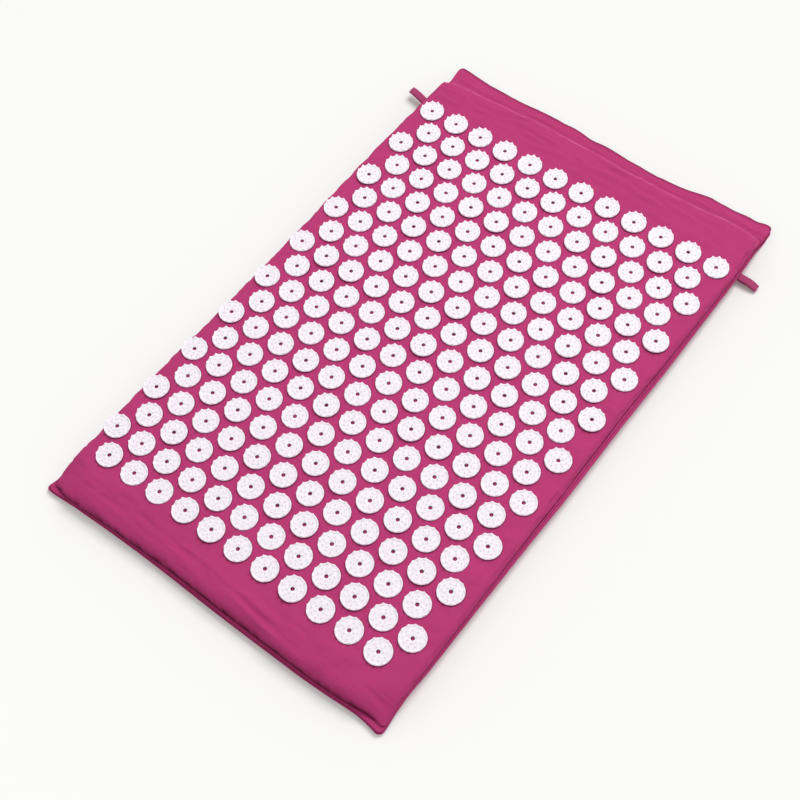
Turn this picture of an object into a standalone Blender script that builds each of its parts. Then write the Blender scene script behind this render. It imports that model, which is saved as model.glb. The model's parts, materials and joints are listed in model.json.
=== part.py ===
"""Acupressure mat: a foam pad in a sewn cotton cover that carries rows of spiked plastic discs.

The cover is a top panel and a bottom panel, each with a narrow seam edge all round, sewn together
along the near end and both long sides. The far end closes with a flap: the top panel's hem carries a
hook tape and lifts off the bottom panel's hem, which carries a loop tape. A folded tape loop is sewn
into each long seam near that end.

The mat lies on Z = 0. +Y runs along its length to the closure, and X = 0 is its middle line.
"""

import math
from collections import namedtuple

import bmesh
import bpy
from mathutils import Matrix

# Disc field: staggered rows, counted from the near end
ROWS = 20
LONG_ROW_DISCS = 12
COLUMN_PITCH = 0.032
ROW_PITCH = 0.027
ROWS_OF_LOOSE_DISCS = 4
DISC_TURN = math.radians(137.5)

# Spiked disc
DISC_RADIUS = 0.0132
PLATE_THICKNESS = 0.0012
SPIKE_HEIGHT = 0.0038
INNER_SPIKE_HEIGHT = 0.0030
BORE_RADIUS = 0.0020
CROWN_SPIKES = 12
INNER_SPIKES = 6
CROWN_RADIUS_SHARE = 0.88
CROWN_FOOT_SHARE = 0.74
MIDDLE_SPIKE_SHARE = 0.60
INNER_SPIKE_SHARE = 0.36
PLAIN_CROWN_SPIKES = 8
PLAIN_FOOT_POINTS = 4
PLAIN_FOOT_SHARE = 0.55
PLAIN_PIT_DEPTH = 0.0010

# Foam pad and cotton cover
FOAM_THICKNESS = 0.019
CLOTH = 0.0008
GAP = 0.0003
SIDE_BORDER = 0.0028
NEAR_BORDER = 0.0338
FAR_BORDER = 0.0383
SIDE_ROLL = 0.0035
NEAR_ROLL = 0.0120
FAR_ROLL = 0.0060
ROLL_DROP = 0.0090
BOTTOM_ROLL = 0.0030
NEAR_CORNER_RADIUS = 0.0100
FAR_CORNER_RADIUS = 0.0160

# Seam edge, drawn in between the corners
SEAM_WIDTH = 0.0050
SEAM_BOW = 0.0018
SEAM_HEIGHT = 0.0075
EAR_RADIUS = 0.0030

# Closure band
SLOPE_RUN = 0.0150
SIDE_SLOPE_RUN = 0.0300
BAND_WIDTH = 0.0205
BAND_CORNER_RADIUS = 0.0060
TAPE_WIDTH = 0.0160
TAPE_THICKNESS = 0.0008
TAPE_END_MARGIN = 0.0120
LOWER_HEM_MARGIN = 0.0090

# Folded loops of tape
LOOP_REACH = 0.0240
LOOP_WIDTH = 0.0080
LOOP_TAPE_THICKNESS = 0.0009
LOOP_EYE_HEIGHT = 0.0026
LOOP_LAYERS = 2
LOOP_ROOT_LENGTH = 0.0060
LOOP_TO_FAR_WALL = 0.0371
LOOP_ROOT_GAP = 0.0006
LOOP_END_STEPS = 8

# Points round one loop of the cover, as shares of each straight side
ROLL_SHARES = (0.0, 1 / 3, 2 / 3, 1.0)
LONG_SIDE_SHARES = (0.16, 0.32, 0.48, 0.64, 0.80, 0.92)
END_SHARES = (0.25, 0.50, 0.75)
CORNER_STEPS = 4
CREASE_CORNER_SHARE = 0.5
BOTTOM_RING_STEP = 0.0020
SMOOTH_ANGLE = math.radians(35)

# Heights
CLEAR = CLOTH + GAP
TOP = FOAM_THICKNESS + 2 * CLEAR
HEM = 2 * CLOTH
LOOP_TAPE_BASE = HEM + GAP
HOOK_TAPE_BASE = LOOP_TAPE_BASE + TAPE_THICKNESS + GAP
FLAP_BASE = HOOK_TAPE_BASE + TAPE_THICKNESS + GAP
BAND_TOP = FLAP_BASE + HEM
SEAM_STACK = 2 * CLOTH + GAP
DISC_BASE = TOP + GAP

# Places across and along the mat: the walls are the outer faces of the cover round the foam
FIELD_HALF_WIDTH = (LONG_ROW_DISCS - 1) * COLUMN_PITCH / 2 + DISC_RADIUS
FIELD_LENGTH = (ROWS - 1) * ROW_PITCH + 2 * DISC_RADIUS
WALL_X = FIELD_HALF_WIDTH + SIDE_BORDER + CLEAR
PAD_LENGTH = NEAR_BORDER + FIELD_LENGTH + FAR_BORDER + 2 * CLEAR
MAT_LENGTH = SEAM_WIDTH + PAD_LENGTH + SLOPE_RUN + BAND_WIDTH
NEAR_WALL_Y = SEAM_WIDTH - MAT_LENGTH / 2
FAR_WALL_Y = NEAR_WALL_Y + PAD_LENGTH
BAND_ROOT_Y = FAR_WALL_Y + SLOPE_RUN
FAR_END_Y = MAT_LENGTH / 2
FIRST_ROW_Y = NEAR_WALL_Y + CLEAR + NEAR_BORDER + DISC_RADIUS
FLAP_START_Y = BAND_ROOT_Y + GAP
LOOP_Y = FAR_WALL_Y - LOOP_TO_FAR_WALL
SLOPE_ANGLE = math.atan2(TOP - BAND_TOP, SLOPE_RUN + FAR_ROLL)

# One loop of points round the pad. side, near and far are (distance out from the wall, height);
# root is the height of the long sides where they reach the closure band.
Station = namedtuple("Station", "side near far root near_radius far_radius bow")


def clear_scene():
    """Removes every object, so that the file holds the mat alone."""
    for obj in list(bpy.data.objects):
        bpy.data.objects.remove(obj, do_unlink=True)


def make_material(name, colour, roughness):
    """A plain surface of one colour."""
    material = bpy.data.materials.new(name)
    material.use_nodes = True
    shader = material.node_tree.nodes["Principled BSDF"]
    shader.inputs["Base Color"].default_value = (*colour, 1.0)
    shader.inputs["Roughness"].default_value = roughness
    shader.inputs["Metallic"].default_value = 0.0
    return material


def add_object(name, mesh, material, parent=None):
    """Links a mesh as a named object, shaded smooth except at its sharp edges."""
    obj = bpy.data.objects.new(name, mesh)
    bpy.context.scene.collection.objects.link(obj)
    if not mesh.materials:
        mesh.materials.append(material)
    mesh.shade_smooth()
    mesh.set_sharp_from_angle(angle=SMOOTH_ANGLE)
    obj.parent = parent
    return obj


def add_pivot(name, place):
    """An empty on a hinge line, for the pieces that turn about it."""
    pivot = bpy.data.objects.new(name, None)
    pivot.location = place
    bpy.context.scene.collection.objects.link(pivot)
    return pivot


def mesh_from(shape, name):
    """Turns a closed bmesh into a mesh with its faces outwards."""
    bmesh.ops.recalc_face_normals(shape, faces=shape.faces)
    mesh = bpy.data.meshes.new(name)
    shape.to_mesh(mesh)
    shape.free()
    return mesh


def ring_of(shape, points):
    """Adds the points as vertices and returns them in order."""
    return [shape.verts.new(point) for point in points]


def circle(radius, height, count, turn=0.0):
    """Points of a level circle about Z, the first one at the given angle."""
    step = 2 * math.pi / count
    angles = [turn + step * i for i in range(count)]
    return [(radius * math.cos(a), radius * math.sin(a), height) for a in angles]


def join_rings(shape, first, second):
    """A band of four-sided faces between two rings of as many points."""
    for i in range(len(first)):
        j = (i + 1) % len(first)
        shape.faces.new((first[i], first[j], second[j], second[i]))


def stitch_rings(shape, many, few):
    """Triangles between a ring and one with a whole share of its points: each point of the smaller
    ring holds a fan of the larger one, and the two points beside each fan's end share a triangle."""
    fan = len(many) // len(few)
    for j, point in enumerate(few):
        for i in range(fan):
            shape.faces.new((many[fan * j + i], many[(fan * j + i + 1) % len(many)], point))
        shape.faces.new((many[fan * (j + 1) % len(many)], few[(j + 1) % len(few)], point))


def alternate(first, second):
    """Two lists taken in turn, such as the valleys and tips of a crown."""
    return [point for pair in zip(first, second) for point in pair]


def mesh_spikes(shape, first, second):
    """Triangles between two rings of spikes that stand in each other's gaps. The first ring starts
    with a valley and the second with a tip, and each slanted edge runs from valley to valley, so
    that every tip falls away on its own."""
    for i in range(len(first)):
        j = (i + 1) % len(first)
        valleys = (first[i], second[j]) if i % 2 == 0 else (first[j], second[i])
        tips = (first[j], second[i]) if i % 2 == 0 else (first[i], second[j])
        for tip in tips:
            shape.faces.new((*valleys, tip))


def add_crown(shape, base, plate_top, spikes, foot_points, foot_share):
    """The outside of a spiked disc from its lower edge to the foot of its crown: an upright rim,
    a ring of spikes just inside it whose valleys lie on the rim, and the ring that they stand on."""
    half_step = math.pi / spikes
    tip_height = plate_top + SPIKE_HEIGHT
    lower_rim = ring_of(shape, circle(DISC_RADIUS, base, spikes))
    upper_rim = ring_of(shape, circle(DISC_RADIUS, plate_top, spikes))
    tips = ring_of(
        shape, circle(DISC_RADIUS * CROWN_RADIUS_SHARE, tip_height, spikes, half_step)
    )
    foot = ring_of(
        shape,
        circle(DISC_RADIUS * foot_share, plate_top, foot_points, math.pi / foot_points),
    )
    join_rings(shape, lower_rim, upper_rim)
    for i, tip in enumerate(tips):
        shape.faces.new((upper_rim[i], upper_rim[(i + 1) % spikes], tip))
    stitch_rings(shape, alternate(upper_rim, tips), foot)
    return lower_rim, foot


def full_disc_mesh():
    """A whole disc standing on Z = 0: the rim and its crown of spikes, two inner rings of spikes, each
    in the other's gaps, and a bore through the middle."""
    shape = bmesh.new()
    lower_rim, foot = add_crown(
        shape, 0, PLATE_THICKNESS, CROWN_SPIKES, INNER_SPIKES, CROWN_FOOT_SHARE
    )
    half_step = math.pi / INNER_SPIKES
    tip_height = PLATE_THICKNESS + INNER_SPIKE_HEIGHT
    radius = DISC_RADIUS * MIDDLE_SPIKE_SHARE
    valleys = ring_of(shape, circle(radius, PLATE_THICKNESS, INNER_SPIKES))
    tips = ring_of(shape, circle(radius, tip_height, INNER_SPIKES, half_step))
    middle_ring = alternate(valleys, tips)
    radius = DISC_RADIUS * INNER_SPIKE_SHARE
    tips = ring_of(shape, circle(radius, tip_height, INNER_SPIKES))
    valleys = ring_of(shape, circle(radius, PLATE_THICKNESS, INNER_SPIKES, half_step))
    inner_ring = alternate(tips, valleys)
    upper_bore = ring_of(shape, circle(BORE_RADIUS, PLATE_THICKNESS, INNER_SPIKES, half_step))
    lower_bore = ring_of(shape, circle(BORE_RADIUS, 0, INNER_SPIKES, half_step))
    stitch_rings(shape, middle_ring, foot)
    mesh_spikes(shape, middle_ring, inner_ring)
    stitch_rings(shape, inner_ring, upper_bore)
    join_rings(shape, upper_bore, lower_bore)
    stitch_rings(shape, lower_rim, lower_bore)
    return mesh_from(shape, "spiked_disc")


def add_plain_disc(shape, x, y, turn):
    """A disc with fewer spikes and a pit for its bore, sunk halfway into the cloth below it."""
    disc = bmesh.new()
    plate_top = DISC_BASE + PLATE_THICKNESS
    lower_rim, foot = add_crown(
        disc,
        TOP - CLOTH / 2,
        plate_top,
        PLAIN_CROWN_SPIKES,
        PLAIN_FOOT_POINTS,
        PLAIN_FOOT_SHARE,
    )
    pit = disc.verts.new((0, 0, plate_top - PLAIN_PIT_DEPTH))
    for i, point in enumerate(foot):
        disc.faces.new((point, foot[(i + 1) % len(foot)], pit))
    disc.faces.new(lower_rim)
    bmesh.ops.rotate(disc, verts=disc.verts, matrix=Matrix.Rotation(turn, 3, "Z"))
    bmesh.ops.translate(disc, verts=disc.verts, vec=(x, y, 0))
    part = mesh_from(disc, "plain_disc")
    shape.from_mesh(part)
    bpy.data.meshes.remove(part)


def disc_places():
    """Every disc as (row, column, x, y, turn). The rows alternate between one disc fewer and a full
    row, and each disc is turned a little further than the one before it."""
    places = []
    for row in range(ROWS):
        count = LONG_ROW_DISCS - (row + 1) % 2
        for column in range(count):
            x = (column - (count - 1) / 2) * COLUMN_PITCH
            places.append((row, column, x, FIRST_ROW_Y + row * ROW_PITCH, DISC_TURN * len(places)))
    return places


def blend(first, second, share):
    """The value that lies a share of the way from first to second."""
    return first + (second - first) * share


def ease(share):
    """A share from 0 to 1 that starts and ends level."""
    share = min(max(share, 0.0), 1.0)
    return share * share * (3 - 2 * share)


def corner(centre_x, centre_y, radius, start):
    """The points of a quarter circle, as (x, y, share of the way round)."""
    points = []
    for i in range(CORNER_STEPS + 1):
        share = i / CORNER_STEPS
        angle = start + share * math.pi / 2
        points.append(
            (centre_x + radius * math.cos(angle), centre_y + radius * math.sin(angle), share)
        )
    return points


def ring_points(station):
    """One closed loop round the pad, counter-clockwise from the near end's right corner. Its height
    follows the near, side and far values of the station, and the long sides ease down to the root
    height as they reach the closure band. The sewn sides curve inwards by the station's bow."""
    x = WALL_X + station.side[0]
    near_y = NEAR_WALL_Y - station.near[0]
    far_y = FAR_WALL_Y + station.far[0]
    near_r = station.near_radius
    far_r = station.far_radius
    side_length = far_y - far_r - (near_y + near_r)

    def side_height(y):
        share = ease((y - (BAND_ROOT_Y - SIDE_SLOPE_RUN)) / SIDE_SLOPE_RUN)
        return blend(station.side[1], station.root, share)

    def drawn_in(share):
        return station.bow * (1 - (2 * share - 1) ** 2)

    right = []
    for px, py, share in corner(x - near_r, near_y + near_r, near_r, -math.pi / 2):
        right.append((px, py, blend(station.near[1], side_height(py), share)))
    for share in LONG_SIDE_SHARES:
        py = near_y + near_r + share * side_length
        right.append((x - drawn_in(share), py, side_height(py)))
    for px, py, share in corner(x - far_r, far_y - far_r, far_r, 0):
        right.append((px, py, blend(side_height(py), station.far[1], share)))
    far_end = [(blend(x - far_r, far_r - x, s), far_y, station.far[1]) for s in END_SHARES]
    left = [(-px, py, pz) for px, py, pz in reversed(right)]
    near_end = []
    for share in END_SHARES:
        px = blend(near_r - x, x - near_r, share)
        near_end.append((px, near_y + drawn_in(share), station.near[1]))
    return right + far_end + left + near_end


def roll_point(run, angle, depth):
    """A point on the rounded edge, a quarter of an ellipse from the flat top to the wall, taken the
    given depth below the cover's outer face."""
    normal_x = math.sin(angle) / run
    normal_z = math.cos(angle) / ROLL_DROP
    length = math.hypot(normal_x, normal_z)
    out = -run * (1 - math.sin(angle)) - depth * normal_x / length
    height = TOP - ROLL_DROP * (1 - math.cos(angle)) - depth * normal_z / length
    return out, height


def slope_point(angle, depth):
    """A point where the cloth turns over the foam's far edge on to the slope down to the closure."""
    radius = FAR_ROLL / math.sin(SLOPE_ANGLE)
    out = -FAR_ROLL + (radius - depth) * math.sin(angle)
    height = TOP - radius + (radius - depth) * math.cos(angle)
    return out, height


def roll_stations(depth):
    """The flat top's edge and the turn down to the walls, the given depth below the outer face."""
    stations = []
    for share in ROLL_SHARES:
        side = roll_point(SIDE_ROLL, share * math.pi / 2, depth)
        near = roll_point(NEAR_ROLL, share * math.pi / 2, depth)
        far = slope_point(share * SLOPE_ANGLE, depth)
        stations.append(
            Station(
                side,
                near,
                far,
                side[1],
                NEAR_CORNER_RADIUS - share * depth,
                FAR_CORNER_RADIUS - share * depth,
                0.0,
            )
        )
    return stations


def top_panel_stations(depth):
    """The top panel's face at the given depth, from its flat top out to the edge of its seam."""
    stations = roll_stations(depth)
    last = stations[-1]
    crease = (-depth, SEAM_HEIGHT - depth)
    edge = (SEAM_WIDTH, SEAM_HEIGHT - depth)
    halfway = (
        blend(last.far[0], SLOPE_RUN, CREASE_CORNER_SHARE),
        blend(last.far[1], BAND_TOP - depth, CREASE_CORNER_SHARE),
    )
    crease_root = blend(SEAM_HEIGHT, BAND_TOP, CREASE_CORNER_SHARE) - depth
    near_radius = blend(NEAR_CORNER_RADIUS, EAR_RADIUS, CREASE_CORNER_SHARE)
    far_radius = blend(FAR_CORNER_RADIUS, EAR_RADIUS, CREASE_CORNER_SHARE)
    stations.append(Station(crease, crease, halfway, crease_root, near_radius, far_radius, 0.0))
    foot = (SLOPE_RUN, BAND_TOP - depth)
    stations.append(
        Station(edge, edge, foot, BAND_TOP - depth, EAR_RADIUS, EAR_RADIUS, SEAM_BOW)
    )
    return stations


def bottom_panel_stations(depth):
    """The bottom panel's face at the given height above its underside, from the flat floor out to
    the edge of its seam, which lies just below the top panel's."""
    seam = SEAM_HEIGHT - SEAM_STACK + depth
    root = BAND_TOP - SEAM_STACK + depth
    middle_radius = blend(NEAR_CORNER_RADIUS, EAR_RADIUS, CREASE_CORNER_SHARE)
    rows = (
        ((-BOTTOM_ROLL, depth), depth, NEAR_CORNER_RADIUS, 0.0),
        ((-depth, BOTTOM_ROLL), blend(depth, root, CREASE_CORNER_SHARE), NEAR_CORNER_RADIUS, 0.0),
        ((-depth, seam), root, middle_radius, 0.0),
        ((SEAM_WIDTH, seam), root, EAR_RADIUS, SEAM_BOW),
    )
    stations = []
    for i, (side, root_height, radius, bow) in enumerate(rows):
        far = (SLOPE_RUN - BOTTOM_RING_STEP * (len(rows) - 1 - i), depth)
        stations.append(Station(side, side, far, root_height, radius, radius, bow))
    return stations


def foam_stations():
    """The foam's outside, a gap inside the cover: its top edge follows the cover, and its lower
    edge is cut back to clear the bottom panel's turned-up rim."""
    stations = roll_stations(CLEAR)
    wall = stations[-1]
    low = BOTTOM_ROLL + CLOTH
    stations.append(
        wall._replace(side=(wall.side[0], low), near=(wall.near[0], low), far=(-CLEAR, low), root=low)
    )
    stations.append(
        wall._replace(side=(-low, CLEAR), near=(-low, CLEAR), far=(-low, CLEAR), root=CLEAR)
    )
    return stations


def skin_mesh(name, outer, inner):
    """A closed sheet of cloth between an outer and an inner face, each given as its stations from
    the flat middle to the seam's edge."""
    shape = bmesh.new()
    outer_rings = [ring_of(shape, ring_points(station)) for station in outer]
    inner_rings = [ring_of(shape, ring_points(station)) for station in inner]
    for rings in (outer_rings, inner_rings):
        shape.faces.new(rings[0])
        for first, second in zip(rings, rings[1:]):
            join_rings(shape, first, second)
    join_rings(shape, outer_rings[-1], inner_rings[-1])
    return mesh_from(shape, name)


def block_mesh(name, stations):
    """A solid between the loops of its stations, closed over the first and the last."""
    shape = bmesh.new()
    rings = [ring_of(shape, ring_points(station)) for station in stations]
    for first, second in zip(rings, rings[1:]):
        join_rings(shape, first, second)
    shape.faces.new(rings[0])
    shape.faces.new(rings[-1])
    return mesh_from(shape, name)


def plate_mesh(name, outline, base, thickness):
    """A flat outline carried straight up by its thickness."""
    shape = bmesh.new()
    lower = ring_of(shape, [(x, y, base) for x, y in outline])
    upper = ring_of(shape, [(x, y, base + thickness) for x, y in outline])
    join_rings(shape, lower, upper)
    shape.faces.new(lower)
    shape.faces.new(upper)
    return mesh_from(shape, name)


def band_outline(half_width, start_y, end_y, radius):
    """A strip across the mat whose two far corners are rounded."""
    right = corner(half_width - radius, end_y - radius, radius, 0)
    left = corner(radius - half_width, end_y - radius, radius, math.pi / 2)
    rounded = [(x, y) for x, y, _ in right + left]
    return [(half_width, start_y), *rounded, (-half_width, start_y)]


def strip_outline(half_width, start_y, end_y):
    """A plain rectangle across the mat."""
    return [
        (-half_width, start_y),
        (half_width, start_y),
        (half_width, end_y),
        (-half_width, end_y),
    ]


def shifted(outline, shift_y):
    """The outline moved along Y."""
    return [(x, y + shift_y) for x, y in outline]


def teardrop(reach, half_height, root_half_height, root_length):
    """The outline of a folded tape in its own X and Z, level about Z = 0: a thin root, then straight
    sides that open to a round end."""
    centre = reach - half_height
    points = [(root_length, -root_half_height)]
    for i in range(LOOP_END_STEPS + 1):
        angle = -math.pi / 2 + math.pi * i / LOOP_END_STEPS
        points.append((centre + half_height * math.cos(angle), half_height * math.sin(angle)))
    points.append((root_length, root_half_height))
    return points


def loop_mesh():
    """One loop of tape, pointing along +X from a hinge line at the top of its root. Two flat layers
    leave the seam together and part round an eye, and the fold closes the far end."""
    tape = LOOP_TAPE_THICKNESS
    half_height = LOOP_EYE_HEIGHT / 2 + tape
    outer = teardrop(LOOP_REACH, half_height, tape, LOOP_ROOT_LENGTH)
    inner = teardrop(LOOP_REACH - tape, LOOP_EYE_HEIGHT / 2, 0, LOOP_ROOT_LENGTH)[1:-1]
    shape = bmesh.new()
    sides = []
    for y in (-LOOP_WIDTH / 2, LOOP_WIDTH / 2):
        outer_ring = ring_of(shape, [(x, y, z - tape) for x, z in outer])
        inner_ring = ring_of(shape, [(x, y, z - tape) for x, z in inner])
        nose_point = shape.verts.new((LOOP_ROOT_LENGTH, y, -tape))
        root = ring_of(shape, [(LOOP_ROOT_GAP, y, 0), (LOOP_ROOT_GAP, y, -LOOP_LAYERS * tape)])
        eye = [nose_point, *inner_ring, nose_point]
        for i in range(len(outer_ring) - 1):
            side = (outer_ring[i], outer_ring[i + 1], eye[i + 1], eye[i])
            shape.faces.new(dict.fromkeys(side))
        shape.faces.new((root[0], root[1], outer_ring[0], nose_point, outer_ring[-1]))
        sides.append((root + outer_ring, [nose_point, *inner_ring]))
    for first, second in zip(*sides):
        join_rings(shape, first, second)
    return mesh_from(shape, "folded_loop")


def seam_reach(y):
    """How far out the drawn-in seam edge of a long side lies at a place along the mat."""
    start = NEAR_WALL_Y - SEAM_WIDTH + EAR_RADIUS
    share = (y - start) / (BAND_ROOT_Y - EAR_RADIUS - start)
    return WALL_X + SEAM_WIDTH - SEAM_BOW * (1 - (2 * share - 1) ** 2)


def loop_droop():
    """The angle below level at which a loop's round end comes down to just above the floor."""
    end_radius = LOOP_EYE_HEIGHT / 2 + LOOP_TAPE_THICKNESS
    along = LOOP_REACH - end_radius
    drop = SEAM_HEIGHT - end_radius - GAP
    return math.asin(drop / math.hypot(along, LOOP_TAPE_THICKNESS)) - math.atan2(
        LOOP_TAPE_THICKNESS, along
    )


def build_discs(material):
    """The discs of the rows nearest the near end, each a piece of its own on the cloth."""
    mesh = full_disc_mesh()
    for row, column, x, y, turn in disc_places():
        if row >= ROWS_OF_LOOSE_DISCS:
            continue
        disc = add_object(f"disc_r{row + 1:02d}_c{column + 1:02d}", mesh, material)
        disc.location = (x, y, DISC_BASE)
        disc.rotation_euler = (0, 0, turn)


def build_top_panel(material):
    """The top panel, with the discs of all further rows fused to its cloth."""
    mesh = skin_mesh("top_panel", top_panel_stations(0), top_panel_stations(CLOTH))
    panel = add_object("top_panel", mesh, material)
    shape = bmesh.new()
    for row, _column, x, y, turn in disc_places():
        if row >= ROWS_OF_LOOSE_DISCS:
            add_plain_disc(shape, x, y, turn)
    field = bpy.data.meshes.new("carried_discs")
    shape.to_mesh(field)
    shape.free()
    discs = add_object("carried_discs", field, material)
    discs.hide_render = True
    discs.display_type = "WIRE"
    union = panel.modifiers.new("carried_discs", "BOOLEAN")
    union.operation = "UNION"
    union.solver = "EXACT"
    union.object = discs


def build_pad(cotton, foam):
    """The bottom panel and the foam."""
    skin = skin_mesh("bottom_panel", bottom_panel_stations(0), bottom_panel_stations(CLOTH))
    add_object("bottom_panel", skin, cotton)
    add_object("foam_pad", block_mesh("foam_pad", foam_stations()), foam)


def build_closure(cotton, hook, loop):
    """The flap with its hook tape on the hinge line where the top panel ends, and the lower hem
    with the loop tape under them."""
    half_width = WALL_X + SEAM_WIDTH
    tape_half_width = half_width - TAPE_END_MARGIN
    tape_start = FLAP_START_Y + (BAND_WIDTH - TAPE_WIDTH) / 2
    tape_end = tape_start + TAPE_WIDTH
    band = band_outline(half_width, FLAP_START_Y, FAR_END_Y, BAND_CORNER_RADIUS)
    lower_half_width = half_width - LOWER_HEM_MARGIN
    lower = band_outline(lower_half_width, FLAP_START_Y, FAR_END_Y, BAND_CORNER_RADIUS)
    tape = strip_outline(tape_half_width, tape_start, tape_end)

    pivot = add_pivot("closure_hinge", (0, FLAP_START_Y, BAND_TOP))
    flap = plate_mesh("closure_flap", shifted(band, -FLAP_START_Y), FLAP_BASE - BAND_TOP, HEM)
    add_object("closure_flap", flap, cotton, pivot)
    hook_base = HOOK_TAPE_BASE - BAND_TOP
    hooks = plate_mesh("hook_tape", shifted(tape, -FLAP_START_Y), hook_base, TAPE_THICKNESS)
    add_object("hook_tape", hooks, hook, pivot)
    add_object("lower_hem", plate_mesh("lower_hem", lower, 0, HEM), cotton)
    loops = plate_mesh("loop_tape", tape, LOOP_TAPE_BASE, TAPE_THICKNESS)
    add_object("loop_tape", loops, loop)


def build_loops(material):
    """The folded loops, hinged on the seam edge of each long side and drooping to the floor."""
    mesh = loop_mesh()
    reach = seam_reach(LOOP_Y)
    for name, side, heading in (("right", 1, 0), ("left", -1, math.pi)):
        loop = add_object(f"side_loop_{name}", mesh, material)
        loop.location = (side * reach, LOOP_Y, SEAM_HEIGHT)
        loop.rotation_euler = (0, loop_droop(), heading)


def main():
    clear_scene()
    cotton = make_material("cotton", (0.46, 0.035, 0.15), 0.85)
    plastic = make_material("disc_plastic", (0.90, 0.89, 0.92), 0.35)
    foam = make_material("foam", (0.80, 0.79, 0.74), 0.95)
    hook = make_material("hook_tape", (0.36, 0.03, 0.12), 0.70)
    loop = make_material("loop_tape", (0.40, 0.035, 0.14), 0.95)
    webbing = make_material("loop_webbing", (0.44, 0.035, 0.15), 0.80)
    build_pad(cotton, foam)
    build_top_panel(cotton)
    build_discs(plastic)
    build_closure(cotton, hook, loop)
    build_loops(webbing)


main()
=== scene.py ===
"""Dresses the acupressure mat: a sewn cotton cover over a foam pad, rows of spiked discs, a
hook-and-loop closure at the far end, two folded side loops, and the pale stage that they lie on.

The file is laid out as a Blender add-on and is run as a script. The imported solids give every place:
+Y runs along the mat to its closure, X = 0 is its middle line and Z = 0 is the floor.
"""

import json
import math

import bpy
import numpy as np
from bpy.props import FloatProperty, FloatVectorProperty, IntProperty, PointerProperty
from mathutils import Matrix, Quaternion, Vector

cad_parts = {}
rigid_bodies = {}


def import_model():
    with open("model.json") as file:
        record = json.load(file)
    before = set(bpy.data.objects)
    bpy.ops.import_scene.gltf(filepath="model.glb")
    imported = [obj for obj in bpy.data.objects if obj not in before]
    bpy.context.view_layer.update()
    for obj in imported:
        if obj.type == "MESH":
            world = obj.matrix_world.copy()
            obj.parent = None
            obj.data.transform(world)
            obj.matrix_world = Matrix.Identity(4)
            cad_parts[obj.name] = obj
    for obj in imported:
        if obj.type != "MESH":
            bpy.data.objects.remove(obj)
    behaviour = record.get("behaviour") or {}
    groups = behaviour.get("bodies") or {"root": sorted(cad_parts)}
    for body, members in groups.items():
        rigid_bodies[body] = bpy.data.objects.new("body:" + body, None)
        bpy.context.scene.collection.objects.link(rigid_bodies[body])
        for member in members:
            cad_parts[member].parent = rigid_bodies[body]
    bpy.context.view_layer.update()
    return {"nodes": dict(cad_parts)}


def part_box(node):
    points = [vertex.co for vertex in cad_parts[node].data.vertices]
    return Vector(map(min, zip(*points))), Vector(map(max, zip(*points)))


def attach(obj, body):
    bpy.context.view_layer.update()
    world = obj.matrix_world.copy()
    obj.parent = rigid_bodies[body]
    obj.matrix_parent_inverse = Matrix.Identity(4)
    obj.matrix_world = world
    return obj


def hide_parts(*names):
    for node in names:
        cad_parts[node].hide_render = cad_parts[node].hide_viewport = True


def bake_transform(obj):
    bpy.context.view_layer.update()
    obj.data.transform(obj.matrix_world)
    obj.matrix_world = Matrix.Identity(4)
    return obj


bl_info = {
    "name": "Acupressure Mat",
    "version": (1, 0, 0),
    "blender": (4, 5, 0),
    "location": "View3D > Sidebar > Mat",
    "description": "Cotton cover, foam, spiked discs, closure and side loops of an acupressure mat",
    "category": "Object",
}

for leftover in list(bpy.data.objects):
    bpy.data.objects.remove(leftover, do_unlink=True)
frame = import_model()

MM = 0.001


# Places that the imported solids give

CLOTH_GAP = 0.3 * MM  # between the cloth and what lies on it
CLOTH_CLEAR = 1.1 * MM  # from the foam to the cover's outer face
PANEL_LOW, PANEL_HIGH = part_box("top_panel")
FOAM_LOW, FOAM_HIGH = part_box("foam_pad")
FLAP_LOW, FLAP_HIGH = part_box("closure_flap")
FIRST_DISC_LOW, FIRST_DISC_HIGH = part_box("disc_r01_c01")
HOOK_LOW, HOOK_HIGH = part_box("hook_tape")
PILE_LOW, PILE_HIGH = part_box("loop_tape")

SEAM_X = PANEL_HIGH.x
WALL_X = FOAM_HIGH.x + CLOTH_CLEAR
NEAR_END_Y = PANEL_LOW.y
NEAR_WALL_Y = FOAM_LOW.y - CLOTH_CLEAR
FAR_WALL_Y = FOAM_HIGH.y + CLOTH_CLEAR
HINGE_Y = FLAP_LOW.y
FAR_END_Y = FLAP_HIGH.y
BAND_TOP = FLAP_HIGH.z
DISC_BASE = FIRST_DISC_LOW.z
TOP = DISC_BASE - CLOTH_GAP
FIRST_ROW_Y = (FIRST_DISC_LOW.y + FIRST_DISC_HIGH.y) / 2
DISC_RADIUS = (FIRST_DISC_HIGH.x - FIRST_DISC_LOW.x) / 2


# Settings

def length(name, description, default):
    """A setting that is a length in metres."""
    return FloatProperty(name=name, description=description, default=default, unit="LENGTH")


def tint(name, description, default):
    """A setting that is a colour."""
    return FloatVectorProperty(
        name=name, description=description, default=default, subtype="COLOR"
    )


class CoverSettings(bpy.types.PropertyGroup):
    """Sizes and colour of the cotton cover."""

    cloth: length("Cloth", "Thickness of the cotton", 0.7 * MM)
    cell: length("Mesh Cell", "Size of a face on the flat top", 3.2 * MM)
    rumple: length("Rumple", "Height of the soft waves", 0.35 * MM)
    crinkle: length("Crinkle", "Height of the end wrinkles", 0.36 * MM)
    thread: length("Thread", "Spacing of the weave's threads", 0.55 * MM)
    colour: tint("Cotton", "Dyed cotton", (0.462, 0.0425, 0.166))


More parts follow.
